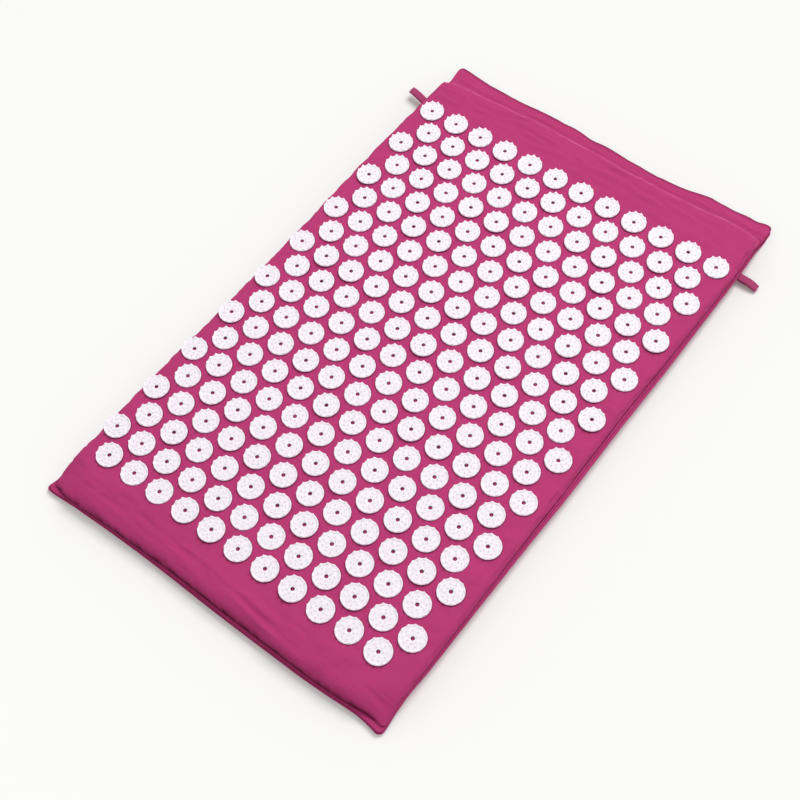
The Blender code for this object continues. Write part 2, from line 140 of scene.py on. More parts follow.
class DiscSettings(bpy.types.PropertyGroup):
    """Counts, sizes and colour of the spiked discs."""

    rows: IntProperty(name="Rows", description="Rows of discs along the mat", default=20, min=1)
    long_row: IntProperty(name="Long Row", description="Discs in a full row", default=12, min=2)
    pitch_x: length("Column Pitch", "Spacing across the mat", 32 * MM)
    pitch_y: length("Row Pitch", "Spacing along the mat", 27 * MM)
    plate: length("Plate", "Thickness of the plate", 1.2 * MM)
    crown: length("Crown", "Height of the rim's spikes", 3.1 * MM)
    inner: length("Inner Spikes", "Height of the inner spikes", 3.0 * MM)
    rim: length("Rim", "Radius of the plate", DISC_RADIUS - 0.4 * MM)
    bore: length("Bore", "Radius of the centre hole", 1.9 * MM)
    colour: tint("Plastic", "Moulded plastic", (0.775, 0.72, 0.785))


class TrimSettings(bpy.types.PropertyGroup):
    """Sizes and colours of the foam, the tapes and the side loops."""

    foam_colour: tint("Foam", "Polyurethane foam", (0.70, 0.68, 0.60))
    hook_colour: tint("Hook Tape", "Nylon hook tape", (0.36, 0.03, 0.12))
    pile_colour: tint("Loop Tape", "Soft loop tape", (0.42, 0.04, 0.15))
    webbing_colour: tint("Webbing", "Side loop tape", (0.42, 0.042, 0.150))
    tape: length("Tape", "Thickness of the side loop's tape", 0.9 * MM)
    loop_width: length("Loop Width", "Width of the side loop's tape", 8 * MM)


class StageSettings(bpy.types.PropertyGroup):
    """Camera, lights and floor."""

    camera_place: FloatVectorProperty(
        name="Camera", description="Place of the camera", default=(0.49474, -0.58349, 1.16823),
        unit="LENGTH",
    )
    view_direction: FloatVectorProperty(
        name="View", description="Direction of the view", default=(-0.35321, 0.38496, -0.85267)
    )
    roll: FloatProperty(
        name="Roll", description="Turn of the camera about its view", default=math.radians(-5.12),
        subtype="ANGLE",
    )
    lens: FloatProperty(name="Lens", description="Focal length in millimetres", default=64.353)
    sky: FloatProperty(name="Sky", description="Strength of the even light", default=0.585)
    lamp: FloatProperty(name="Lamp", description="Power of the soft lamp in watts", default=76.0)
    lamp_place: FloatVectorProperty(
        name="Lamp Place", description="Place of the soft lamp", default=(0.20, 1.78, 2.98),
        unit="LENGTH",
    )
    lamp_size: length("Lamp Size", "Side of the soft lamp", 1.8)
    floor_glow: FloatProperty(
        name="Floor Glow", description="White seen on the floor, for each metre from the lamp",
        default=0.1637,
    )
    glow_start: length("Glow Start", "Distance from the lamp where the floor's glow starts", 1.19)


# Meshes from arrays

def mesh_object(name, points, quads, uv=None, material=None):
    """An object from an array of points and an array of four-sided faces. uv holds a place on the
    cloth, in metres, for each point."""
    mesh = bpy.data.meshes.new(name)
    mesh.vertices.add(len(points))
    mesh.vertices.foreach_set("co", np.asarray(points, np.float32).ravel())
    corners = np.asarray(quads, np.int32).ravel()
    mesh.loops.add(len(corners))
    mesh.loops.foreach_set("vertex_index", corners)
    mesh.polygons.add(len(quads))
    mesh.polygons.foreach_set("loop_start", np.arange(0, len(corners), 4, dtype=np.int32))
    mesh.update(calc_edges=True)
    if uv is not None:
        layer = mesh.uv_layers.new(name="cloth")
        layer.data.foreach_set("uv", np.asarray(uv, np.float32)[corners].ravel())
    mesh.shade_smooth()
    if material is not None:
        mesh.materials.append(material)
    obj = bpy.data.objects.new(name, mesh)
    bpy.context.scene.collection.objects.link(obj)
    return obj


def stacked(*parts):
    """Points from their coordinates, or faces from their corners."""
    return np.stack(parts, axis=-1)


def level(place, z):
    """Points at one height, from their places across and along."""
    return stacked(*place, np.full(len(place[0]), z))


def grid_quads(rows, columns, closed=False, start=0):
    """Faces between the neighbours of a grid of points, numbered row by row. A closed grid joins
    its last column to its first."""
    index = start + np.arange(rows * columns).reshape(rows, columns)
    if closed:
        index = np.hstack([index, index[:, :1]])
    quads = stacked(index[:-1, :-1], index[:-1, 1:], index[1:, 1:], index[1:, :-1])
    return quads.reshape(-1, 4)


def loop_quads(inner, outer):
    """Faces between two closed loops of as many points."""
    return stacked(inner, outer, np.roll(outer, -1), np.roll(inner, -1))


def solidify(obj, thickness, offset=-1.0):
    """Gives a sheet its thickness, inwards by default."""
    modifier = obj.modifiers.new("thickness", "SOLIDIFY")
    modifier.thickness = thickness
    modifier.offset = offset
    modifier.use_even_offset = False


def add_attributes(obj, **masks):
    """Stores numbers for each point of a mesh under names that its material reads."""
    for name, values in masks.items():
        attribute = obj.data.attributes.new(name, "FLOAT", "POINT")
        attribute.data.foreach_set("value", np.asarray(values, np.float32))


def ease(share):
    """A share that starts and ends level: three times its square less twice its cube."""
    share = np.clip(share, 0.0, 1.0)
    return share * share * (3 - 2 * share)


def blend(first, second, share):
    """The value that lies a share of the way from first to second."""
    return first + (second - first) * share


def steps(count):
    """The shares of a way that is gone in equal steps, from the first step's end to the last's."""
    return [step / count for step in range(1, count + 1)]


def soft_table(at, table, blur):
    """The height of a drawn line of (place, value) points, with its corners rounded by taking
    the mean of nine places within the blur on either side."""
    places, values = zip(*table)
    shifts = np.linspace(-blur, blur, 9)
    return np.mean([np.interp(at + shift, places, values) for shift in shifts], axis=0)


def waves(x, y, seed, shortest, longest, heading, fan, count=14):
    """A sum of sine waves, about one unit high in all. Their lengths lie between the two given,
    their headings within the fan on either side of heading, and the seed fixes them and their
    phases."""
    draw = np.random.RandomState(seed)
    lengths = np.exp(draw.uniform(math.log(shortest), math.log(longest), count))
    angles = heading + draw.uniform(-fan, fan, count)
    phases = draw.uniform(0, 2 * math.pi, count)
    total = np.zeros(np.broadcast(x, y).shape)
    for length_of_wave, angle, phase in zip(lengths, angles, phases):
        along = x * math.cos(angle) + y * math.sin(angle)
        total = total + np.sin(2 * math.pi * along / length_of_wave + phase)
    return total / math.sqrt(count / 2)


# The cover's outline: how far each edge lies from the solids' straight one, by the place along it

def hand_drawn(*points):
    """A line of (place, value) points whose values are given here in millimetres."""
    return [(place, value * MM) for place, value in points]


RIGHT_EDGE = hand_drawn(
    (0.00, 4.4), (0.016, 4.0), (0.028, 2.8), (0.045, 2.3), (0.065, 2.6), (0.085, 3.3),
    (0.105, 3.6), (0.18, 3.4), (0.26, 2.8), (0.33, 2.8), (0.41, 3.2), (0.49, 2.2), (0.56, 1.2),
    (0.64, 1.0), (0.71, 0.6), (0.79, -0.8), (0.86, -1.7), (0.90, -2.5), (0.925, -3.6),
    (0.95, -5.0), (0.98, -6.0), (1.00, -6.6),
)
LEFT_EDGE = hand_drawn(
    (0.00, -3.2), (0.008, -4.2), (0.02, -7.4), (0.035, -9.6), (0.055, -10.4), (0.107, -10.4),
    (0.19, -8.6), (0.25, -8.2), (0.32, -8.4), (0.44, -7.8), (0.50, -7.2), (0.62, -4.6),
    (0.68, -3.0), (0.745, -0.8), (0.83, 0.4), (0.89, 1.4), (0.93, 1.2), (0.945, 0.6),
    (0.955, -2.6), (0.963, -1.8), (0.975, 1.8), (0.99, 2.2), (1.00, 2.2),
)
NEAR_EDGE = hand_drawn(
    (-1.00, 3.0), (-0.94, 3.2), (-0.80, 1.6), (-0.68, 0.8), (-0.57, 0.1), (-0.40, -0.4),
    (-0.25, -0.4), (0.10, 0.9), (0.30, 1.0), (0.60, 0.7), (0.74, -0.6), (0.82, -1.9),
    (0.87, -2.5), (0.91, -2.2), (0.95, -1.2), (0.98, 0.0), (1.00, 0.4),
)
FAR_EDGE = hand_drawn(
    (-1.00, -3.6), (-0.92, -5.6), (-0.80, -8.4), (-0.55, -8.6), (-0.40, -7.6), (-0.24, -5.8),
    (-0.20, -6.2), (-0.13, -8.6), (0.20, -9.6), (0.31, -11.2), (0.37, -10.0), (0.49, -7.0),
    (0.61, -1.8), (0.66, -3.8), (0.75, -3.8), (0.82, -1.4), (0.90, -1.4), (0.95, 1.2),
    (1.00, 1.0),
)
FAR_RIDGE = hand_drawn(
    (-1.00, -5.5), (-0.80, -3.4), (-0.60, -0.8), (-0.40, 2.6), (-0.23, 2.2), (-0.10, 2.8),
    (0.00, 2.2), (0.20, 1.0), (0.40, 1.6), (0.60, 3.4), (0.80, 6.0), (0.90, 6.0), (1.00, 2.0),
)
EDGE_BLUR = 0.012  # how far either way a drawn line is rounded off
END_REACH = 30 * MM  # how far from an end its outline still pulls the cloth

# Widths of the sewn edge from its crease to its outer edge: the long sides' by the place along the
# mat, the near end's by the place across it
RIGHT_LIP = hand_drawn(
    (0.00, 0.5), (0.055, 0.7), (0.08, 1.5), (0.13, 2.0), (0.20, 2.4), (0.30, 3.4), (0.40, 4.5),
    (0.60, 4.9), (0.70, 4.3), (0.80, 3.0), (0.88, 2.2), (1.00, 1.5),
)
LEFT_LIP = hand_drawn(
    (0.00, 5.4), (0.012, 4.2), (0.03, 1.4), (0.055, 0.9), (0.10, 1.4), (0.70, 1.8), (0.80, 3.8),
    (0.92, 4.4), (1.00, 2.0),
)
NEAR_LIP = hand_drawn(
    (-1.00, 7.4), (-0.95, 7.4), (-0.92, 6.2), (-0.865, 3.4), (-0.81, 2.1), (-0.74, 2.2),
    (-0.58, 2.9), (-0.42, 3.4), (-0.15, 4.7), (0.20, 5.0), (0.50, 4.4), (0.72, 3.7), (0.84, 4.1),
    (0.90, 6.6), (0.96, 8.2), (1.00, 7.6),
)
LIP_BASE = 3.0 * MM  # the sewn edge's width that the flat grid is made for
CORNER_BEND = 24 * MM  # how far round a corner one side's sewn edge gives way to the other's


def side_table(x, y, right, left):
    """The value of a long side's drawn line at a place: the right one's or the left one's."""
    along = (y - NEAR_END_Y) / (FAR_END_Y - NEAR_END_Y)
    return np.where(x > 0, soft_table(along, right, EDGE_BLUR), soft_table(along, left, EDGE_BLUR))


def sewn_outline(points):
    """Moves points across the plan from the solids' straight outline to the sewn one. A long side's
    offset grows with the fourth power of the distance from the middle line, and an end's offset
    fades over its reach. Past the foam's far edge the ridge's offset turns into the far edge's."""
    x, y, z = np.moveaxis(points, -1, 0)
    across = x / SEAM_X
    side = side_table(x, y, RIGHT_EDGE, LEFT_EDGE) * np.where(x > 0, 1, -1)
    moved_x = x + side * np.clip(np.abs(across), 0, 1.1) ** 4
    to_near = ease((NEAR_WALL_Y + END_REACH - y) / END_REACH)
    near = soft_table(across, NEAR_EDGE, EDGE_BLUR) * to_near
    ridge = soft_table(across, FAR_RIDGE, 3 * EDGE_BLUR)
    far = soft_table(across, FAR_EDGE, EDGE_BLUR)
    far = blend(ridge, far, ease((y - FAR_WALL_Y) / (FAR_END_Y - FAR_WALL_Y)))
    far = far * ease((y - FAR_WALL_Y + END_REACH) / END_REACH)
    return stacked(moved_x, y - near + far, z)


# The cover's rings: a grid over the flat top, and loops of points from its edge out to the seam

SIDE_ROLL = 2.6 * MM
NEAR_ROLL = 12.5 * MM
FAR_ROLL = 5.0 * MM
# Half the width of the grid on the flat top, and its near and far ends
FLAT_TOP = (
    SEAM_X - LIP_BASE - SIDE_ROLL, NEAR_END_Y + LIP_BASE + NEAR_ROLL, FAR_WALL_Y - FAR_ROLL
)
SIDE_DROP = 5.0 * MM
NEAR_DROP = 9.5 * MM
FAR_DROP = 1.7 * MM
FAR_TURN = math.radians(40)
SIDE_BULGE = 0.5 * MM
NEAR_BULGE = 0.7 * MM
SLUMP = 0.62  # how much of the way to the closure band's height a side's roll takes there
BAND_FALL = 14 * MM  # how far before the foam's far edge the long sides start to come down
EAR_CORNER = 5.4 * MM
FAR_CORNER = 10.0 * MM
NO_CORNER = 1e-6  # the radius of a corner that stays square
ROLL_STEPS = 7
WALL_STEPS = 4
LIP_STEPS = 9
CORNER_CELL = 1.5 * MM
CORNER_REACH = 12.0 * MM
SIDE_SEAM_HEIGHT = 12.8 * MM
NEAR_SEAM_HEIGHT = 7.8 * MM
EAR_HEIGHT = 5.8 * MM
EAR_REACH = (36 * MM, 44 * MM)  # how far from a near corner, across and along, the pad slopes down
EAR_SLOPE = 0.86
SIDE_SHOWS = 0.48  # the share of the sewn edge that the upper cloth leaves bare, on a long side
NEAR_SHOWS = 0.24  # and on the near end
SIDE_LIP_SINKS = 1.3 * MM  # how far the sewn edge slopes down on its way out, on a long side
NEAR_LIP_SINKS = 0.4 * MM
BAND_EDGE_SINKS = 1.1 * MM
# Heights of the sewn edge's small waves and of the closure band's, in millimetres
PUCKER = 0.24
SWELL_HEIGHT = 0.8
CRIMP_HEIGHT = 0.26

# Waves of the cloth: seed, shortest and longest length, heading and fan
SHORT_PUCKER = (41, 11 * MM, 24 * MM, 0, math.pi)
LONG_PUCKER = (42, 45 * MM, 120 * MM, 0, math.pi)
SOFT_WAVES = (3, 38 * MM, 120 * MM, 0, math.pi)
END_WRINKLES = (8, 7 * MM, 17 * MM, math.pi / 2, 0.16)
WRINKLES_VARY = (9, 60 * MM, 160 * MM, 0, math.pi)
BAND_SWELL = (21, 60 * MM, 150 * MM, 0, 0.35)
BAND_CRIMP = (23, 9 * MM, 20 * MM, math.pi / 2, 0.3)
RIDGE_VARIES = (31, 25 * MM, 90 * MM, 0, 0.3)
CREASE_VARIES = (71, 7 * MM, 30 * MM, 0, 0.4)


def spaced(low, high, cell):
    """Places from low to high, a cell apart in the middle and closer near both ends."""
    corner = np.arange(0, CORNER_REACH, CORNER_CELL)
    count = max(2, int(round((high - low - 2 * CORNER_REACH) / cell)))
    middle = np.linspace(low + CORNER_REACH, high - CORNER_REACH, count + 1)
    return np.concatenate([low + corner, middle, (high - corner)[::-1]])


class Skin:
    """The grid of one panel: its interior points, the loop round its edge, and where each point of
    that loop lies, as a place on the sides of a square from -1 to 1."""

    def __init__(self, cell, half_x, near_y, far_y):
        grid_x, grid_y = np.meshgrid(spaced(-half_x, half_x, cell), spaced(near_y, far_y, cell))
        self.shape = grid_x.shape
        self.x, self.y = grid_x.ravel(), grid_y.ravel()
        index = np.arange(grid_x.size).reshape(self.shape)
        self.edge = np.concatenate(
            [index[0, :-1], index[:-1, -1], index[-1, :0:-1], index[:0:-1, 0]]
        )
        middle = (near_y + far_y) / 2
        self.square_x = (self.x / half_x)[self.edge]
        self.square_y = ((self.y - middle) / (far_y - middle))[self.edge]

    def outline(self, half_x, near_y, far_y, near_radius, far_radius):
        """The loop's points on a rectangle with round corners. Each corner's two straight runs, as
        long as its radius, are wound on to its quarter circle. It gives the places across and
        along, a share that is 1 on the near end, and one that is 1 on the far end. Both are 0 on
        the long sides and turn round the corners."""
        half_y = (far_y - near_y) / 2
        middle = (far_y + near_y) / 2
        radius = np.where(self.square_y < 0, near_radius, far_radius)
        reach_x = np.abs(self.square_x) * half_x
        reach_y = np.abs(self.square_y) * half_y
        centre_x = half_x - radius
        centre_y = half_y - radius
        on_side = np.isclose(np.abs(self.square_x), 1.0)
        wound = np.where(on_side, radius + half_y - reach_y, reach_x - centre_x)
        share = np.clip(wound / (2 * radius), 0.0, 1.0)
        in_corner = (reach_x > centre_x) & (reach_y > centre_y)
        angle = share * math.pi / 2
        x = np.where(in_corner, centre_x + radius * np.sin(angle), reach_x)
        y = np.where(in_corner, centre_y + radius * np.cos(angle), reach_y)
        place = np.stack([np.sign(self.square_x) * x, middle + np.sign(self.square_y) * y])
        on_end = 1.0 - np.where(in_corner, share, np.where(on_side, 1.0, 0.0))
        return place, *(np.where(self.square_y * side > 0, on_end, 0.0) for side in (-1, 1))

    def quads(self, rings):
        """Faces of the grid, and of the rings that follow its edge loop."""
        count = len(self.edge)
        loops = [self.edge] + [self.x.size + count * i + np.arange(count) for i in range(rings)]
        bands = [loop_quads(inner, outer) for inner, outer in zip(loops, loops[1:])]
        return np.concatenate([grid_quads(*self.shape)] + bands)

    def cloth_places(self, grid_points, rings):
        """Each point's place on the flat cloth: the grid's own, and for a ring the edge's place
        carried outwards by the length of cloth up to it."""
        flat = [stacked(self.x, self.y)]
        last = grid_points[self.edge]
        start = flat[0][self.edge]
        outward = stacked(*(
            np.where(np.isclose(np.abs(place), 1.0), np.sign(place), 0.0)
            for place in (self.square_x, self.square_y)
        ))
        travelled = np.zeros(len(start))
        for ring in rings:
            travelled = travelled + np.linalg.norm(ring - last, axis=1)
            flat.append(start + outward * travelled[:, None])
            last = ring
        return np.concatenate(flat)


def side_falls(y):
    """How far a long side has come down towards the closure band, from 0 to 1, at a place along
    it."""
    return ease((y - (FAR_WALL_Y - BAND_FALL)) / (HINGE_Y - FAR_WALL_Y + BAND_FALL))


def side_lip(x, y):
    """The width of the sewn edge on the long side that x is on, at a place along it."""
    return side_table(x, y, RIGHT_LIP, LEFT_LIP)


def near_lip(x):
    """The width of the sewn edge on the near end, at a place across the mat."""
    return soft_table(x / SEAM_X, NEAR_LIP, 2 * EDGE_BLUR)


def drawn_in(place, side, near):
    """Moves the sewn outline's points inwards, across by one distance and along by another. Each
    distance fades where the outline turns away from its own side."""
    x, y = place
    to_side = 1 - ease((SEAM_X - np.abs(x)) / CORNER_BEND)
    to_near = 1 - ease((y - NEAR_END_Y) / CORNER_BEND)
    return np.stack([x - np.sign(x) * side * to_side, y + near * to_near])


def corner_share(x, y):
    """1 at the two near corners, falling to 0 along a quarter of an ellipse round each."""
    away = np.hypot((SEAM_X - np.abs(x)) / EAR_REACH[0], (y - NEAR_END_Y) / EAR_REACH[1])
    return 1 - ease(away)


def pressed_ears(points):
    """Lowers points near the two near corners towards the ears' height."""
    x, y, z = np.moveaxis(points, -1, 0)
    return stacked(x, y, z - corner_share(x, y) * EAR_SLOPE * np.maximum(z - EAR_HEIGHT, 0))


def seam_height(x, y, near, far):
    """The height of the crease: high on the long sides, lower on the near end, lowest at the near
    corners, and down on the closure band at the far end."""
    height = blend(SIDE_SEAM_HEIGHT, NEAR_SEAM_HEIGHT, near)
    height = blend(height, EAR_HEIGHT, corner_share(x, y) ** 0.6)
    return blend(height, BAND_TOP, np.maximum(side_falls(y), far))


def seam_pucker(x, y):
    """The small waves of a sewn edge."""
    both = 0.6 * waves(x, y, *SHORT_PUCKER) + 0.5 * waves(x, y, *LONG_PUCKER)
    return both * PUCKER * MM


def fitted_grid(x, y):
    """Pulls the flat grid's long edges in or out to where the rolled side begins, by the sixth
    power of the distance from the middle line."""
    pull = (LIP_BASE - side_lip(x, y)) * (np.abs(x) / FLAT_TOP[0]) ** 6
    return np.stack([x + np.sign(x) * pull, y])


def top_rings(skin):
    """The top panel's loops. They roll over the foam's edge on a quarter of an ellipse, tuck in to
    the crease, and run out along the sewn edge; at the far end they turn over the foam's edge by
    less, slope down and run out along the closure band. Near the two near corners everything above
    the crease is pressed down towards it, so that the pad ends in a flat ear."""
    rings = []
    flat = fitted_grid(*skin.outline(*FLAT_TOP, NO_CORNER, NO_CORNER)[0])
    seam, near, far = skin.outline(SEAM_X, NEAR_END_Y, FAR_WALL_Y, EAR_CORNER, FAR_CORNER)
    wall = drawn_in(seam, side_lip(*seam) - SIDE_BULGE, near_lip(seam[0]) - NEAR_BULGE)
    end_drop = blend(SIDE_DROP, NEAR_DROP, near)
    for share in steps(ROLL_STEPS):
        angle = share * math.pi / 2
        far_angle = share * FAR_TURN
        out = blend(math.sin(angle), math.sin(far_angle) / math.sin(FAR_TURN), far)
        x, y = blend(flat, wall, out)
        far_drop = FAR_DROP * (1 - math.cos(far_angle)) / (1 - math.cos(FAR_TURN))
        drop = blend(end_drop * (1 - math.cos(angle)), far_drop, far)
        slumped = np.maximum(drop, share * (TOP - BAND_TOP) * SLUMP)
        rings.append(stacked(x, y, TOP - blend(drop, slumped, side_falls(y) * (1 - far))))
    wall, wall_z = rings[-1].T[:2], rings[-1].T[2]
    seam, near, far = skin.outline(SEAM_X, NEAR_END_Y, HINGE_Y, EAR_CORNER, 0.5 * FAR_CORNER)
    foot = drawn_in(seam, side_lip(*seam), near_lip(seam[0]))
    foot_z = seam_height(*seam, near, far)
    for share in steps(WALL_STEPS):
        down = blend(share, 1 - (1 - share) ** 1.5, far)
        rings.append(stacked(*blend(wall, foot, share), blend(wall_z, foot_z, down)))
    rings = [pressed_ears(ring) for ring in rings]
    foot_z = rings[-1][:, 2]
    edge, near, far = skin.outline(SEAM_X, NEAR_END_Y, FAR_END_Y, EAR_CORNER, EAR_CORNER)
    edge = drawn_in(
        edge, SIDE_SHOWS * side_lip(*edge), NEAR_SHOWS * np.minimum(near_lip(edge[0]), LIP_BASE)
    )
    edge_low = np.maximum(side_falls(edge[1]), far)
    sinks = blend(SIDE_LIP_SINKS, NEAR_LIP_SINKS, near)
    edge_z = blend(foot_z - sinks, BAND_TOP - BAND_EDGE_SINKS, edge_low)
    pucker = seam_pucker(*edge) * (1 - 0.5 * edge_low)
    for share in steps(LIP_STEPS):
        z = blend(foot_z, edge_z, ease(share * 0.5) * 2) + pucker * share
        rings.append(stacked(*blend(foot, edge, share), z))
    return rings


RUMPLE_FOOT = 9 * MM  # the height at which the soft waves start
# How deep the bare borders at the two ends are, where the cloth wrinkles, and how far they fade
NEAR_BORDER = 34 * MM
FAR_BORDER = 42 * MM
BORDER_FADE = 14 * MM


def rumpled(points, cover):
    """Adds the cloth's waves to a panel's points: soft ones everywhere on the top, and long thin
    ones that run across the mat in the bare borders at both ends."""
    x, y, z = np.moveaxis(points, -1, 0)
    height = ease((z - RUMPLE_FOOT) / (TOP - RUMPLE_FOOT))
    soft = waves(x, y, *SOFT_WAVES) * cover.rumple * height
    near_border = ease((NEAR_WALL_Y + NEAR_BORDER - y) / BORDER_FADE)
    far_border = ease((y - FAR_WALL_Y + FAR_BORDER) / BORDER_FADE)
    border = np.maximum(near_border, far_border) * height
    thin = waves(x, y, *END_WRINKLES) * (0.6 + 0.4 * waves(x, y, *WRINKLES_VARY))
    return stacked(x, y, z + soft + thin * cover.crinkle * border)


def lifted(wave):
    """The part of a wave that rises, with its foot rounded off."""
    return 0.5 * (wave + np.sqrt(wave * wave + 0.15))


def band_waves(points):
    """Lifts the loose band past the foam in a few soft folds that run across to the far edge."""
    x, y, z = np.moveaxis(points, -1, 0)
    past = ease((y - FAR_WALL_Y - 2 * MM) / (10 * MM))
    swell = lifted(waves(x, y, *BAND_SWELL)) * SWELL_HEIGHT * MM
    crimp = lifted(waves(x, y, *BAND_CRIMP)) * CRIMP_HEIGHT * MM
    return stacked(x, y, z + past * (swell + crimp))


# A painted highlight runs along the ridge, where the cloth turns over the foam's far edge
RIDGE_LINE = 1.2 * MM  # how far before the foam's far edge the ridge's line lies
RIDGE_WIDTH = 0.62 * MM


def ridge_highlight_mask(points):
    """Where the painted highlight lies: 1 along the line where the cloth turns over the foam's far
    edge, fading within a millimetre, and weaker and stronger by turns along it."""
    x, y, z = np.moveaxis(points, -1, 0)
    from_line = y - FAR_WALL_Y + RIDGE_LINE
    line = np.exp(-((from_line / RIDGE_WIDTH) ** 2)) * ease((z - TOP + 4 * MM) / (2 * MM))
    return line * (0.75 + 0.25 * waves(x, y, *RIDGE_VARIES))


def disc_distance(x, y, discs):
    """How far each place is from the centre of the nearest disc."""
    before = np.floor((y - FIRST_ROW_Y) / discs.pitch_y)
    row = np.clip(np.stack([before, before + 1]), 0, discs.rows - 1)
    shift = np.where(row % 2 == 1, 0.5, 0.0)
    half = (discs.long_row - 1) / 2 - np.where(row % 2 == 1, 0.0, 0.5)
    column = np.clip(np.round(x / discs.pitch_x - shift) + shift, -half, half)
    away = np.hypot(x - column * discs.pitch_x, y - FIRST_ROW_Y - row * discs.pitch_y)
    return away.min(axis=0)


# The cloth's own settling

SIMULATED_FRAMES = 20
SPARE_CLOTH = 0.016  # the share by which the cloth is longer than the place that it has to lie in
FREE_MOVE = 1.5 * MM  # the most that the simulation may lift the cloth
SUNK_MOVE = 0.4 * MM  # and the most that it may sink it into the foam
HELD_LEVELS = 4  # how many steps there are between free cloth and held cloth


def settled(points, quads, held):
    """Lets the cloth settle by Blender's cloth simulation: it is a little longer than its place,
    and buckles between the discs and seams that hold it. held is 1 where a point stays. The
    movement is capped, and lessened by held, so that nothing tears away from what it is sewn to."""
    scene = bpy.context.scene
    sheet = mesh_object("settling", points, quads)
    group = sheet.vertex_groups.new(name="held")
    levels = np.round(held * HELD_LEVELS).astype(int)
    for number in range(1, HELD_LEVELS + 1):
        group.add(np.flatnonzero(levels == number).tolist(), number / HELD_LEVELS, "REPLACE")
    cloth = sheet.modifiers.new("settle", "CLOTH")
    for name, value in (
        ("quality", 6), ("mass", 0.08), ("tension_stiffness", 25), ("compression_stiffness", 25),
        ("shear_stiffness", 12), ("bending_stiffness", 0.02), ("air_damping", 3),
        ("vertex_group_mass", "held"), ("shrink_min", -SPARE_CLOTH),
    ):
        setattr(cloth.settings, name, value)
    cloth.settings.effector_weights.gravity = 0
    cloth.collision_settings.use_collision = False
    cloth.point_cache.frame_start = 1
    cloth.point_cache.frame_end = SIMULATED_FRAMES
    for frame_number in range(1, SIMULATED_FRAMES + 1):
        scene.frame_set(frame_number)
    moved = np.empty(len(points) * 3)
    result = sheet.evaluated_get(bpy.context.evaluated_depsgraph_get())
    result.data.vertices.foreach_get("co", moved)
    scene.frame_set(1)
    mesh = sheet.data
    bpy.data.objects.remove(sheet, do_unlink=True)
    bpy.data.meshes.remove(mesh)
    shift = (moved.reshape(-1, 3) - points) * (1 - held)[:, None]
    limit = np.full(shift.shape, FREE_MOVE)
    limit[shift[:, 2] <= 0, 2] = SUNK_MOVE
    return points + limit * np.tanh(shift / limit)


def held_share(points, skin, rings, discs):
    """1 where the cloth is sewn or lies under a disc, and 0 where it is free to buckle."""
    masks = [np.zeros(skin.x.size)]
    for number in range(len(rings)):
        masks.append(np.full(len(skin.edge), ease((number - ROLL_STEPS + 2) / 3)))
    distance = disc_distance(points[:, 0], points[:, 1], discs)
    return np.maximum(np.concatenate(masks), 1 - ease((distance - discs.rim) / (4 * MM)))


# Stitches

STITCH_PITCH = 3.3 * MM
STITCH_LENGTH = 2.5 * MM
STITCH_RADIUS = 0.24 * MM
# Places along a stitch, as shares of its length, and the shares of its radius there
STITCH_PROFILE = ((-0.5, 0.3), (-0.3, 1.0), (0.3, 1.0), (0.5, 0.3))


def stitch_run(ring, keep):
    """The unbroken run of a closed ring's points for which keep is true, in order."""
    start = int(np.flatnonzero(keep & ~np.roll(keep, 1))[0])
    return np.roll(ring, -start, axis=0)[: int(keep.sum())]


def stitches(name, lines):
    """Stitches along open lines of points: spindles of four sides, an equal step apart, that lie
    half in the cloth."""
    places, headings = [], []
    for line in lines:
        lengths = np.linalg.norm(np.diff(line, axis=0), axis=1)
        travelled = np.concatenate([[0.0], np.cumsum(lengths)])
        at = np.arange(STITCH_PITCH, travelled[-1] - STITCH_PITCH, STITCH_PITCH)
        start, end = (
            stacked(*(np.interp(at + shift, travelled, line[:, axis]) for axis in range(3)))
            for shift in (-STITCH_LENGTH / 2, STITCH_LENGTH / 2)
        )
        places.append((start + end) / 2)
        headings.append(end - start)
    place, heading = np.concatenate(places), np.concatenate(headings)
    heading /= np.linalg.norm(heading, axis=1, keepdims=True)
    side = np.cross(heading, (0.0, 0.0, 1.0))
    side /= np.linalg.norm(side, axis=1, keepdims=True)
    up = np.cross(side, heading)
    along, share = np.array(STITCH_PROFILE).T
    around = math.pi / 4 + math.pi / 2 * np.arange(4)
    radius = STITCH_RADIUS * share[:, None]
    points = (
        place[:, None, None]
        + heading[:, None, None] * (STITCH_LENGTH * along)[None, :, None, None]
        + side[:, None, None] * (radius * np.cos(around))[None, ..., None]
        + up[:, None, None] * (radius * (0.35 + 0.8 * np.sin(around)))[None, ..., None]
    )
    last = 4 * (len(along) - 1)
    one = np.concatenate([
        grid_quads(len(along), 4, closed=True), [(3, 2, 1, 0), (last, last + 1, last + 2, last + 3)]
    ])
    quads = one + (4 * len(along) * np.arange(len(place)))[:, None, None]
    material = once("thread", thread_material)
    piece = mesh_object(name, points.reshape(-1, 3), quads.reshape(-1, 4), material=material)
    return piece


# Masks that the cotton's material reads

CREASE_SHADE_FIRST = ROLL_STEPS + WALL_STEPS - 7  # the first of the loops that the crease's painted shade darkens
# The painted shade in the crease on that loop and on those after it
SIDE_CREASE_SHADE = (0.0, 0.0, 0.0, 0.0, 0.12, 0.62, 1.0, 0.85, 0.25, 0.0)
NEAR_CREASE_SHADE = (0.16, 0.48, 0.80, 0.95, 1.0, 1.0, 1.0, 0.80, 0.35, 0.08)
OUTER_SHADE = (0.30, 0.80)  # the painted shade of the last two loops, at the cloth's cut edge
LEFT_SHADE = 0.85  # the painted shade of the left side's sewn edge
LEFT_FIRST = CREASE_SHADE_FIRST + 6  # the first loop that it falls on
SIDE_WEIGHT = 0.9  # the strength of the crease's painted shade on a long side
BAND_WEAKENS = 0.88  # by how much that painted shade is weaker on the closure band
EARS_WEAKEN = 0.8  # and on the ears
PLAIN_BORDER = 0.33  # how strong the cloth's creases are outside its bare borders
CREASED_DEPTH = 44 * MM  # how deep those borders are for its creases
CREASED_FADE = 16 * MM


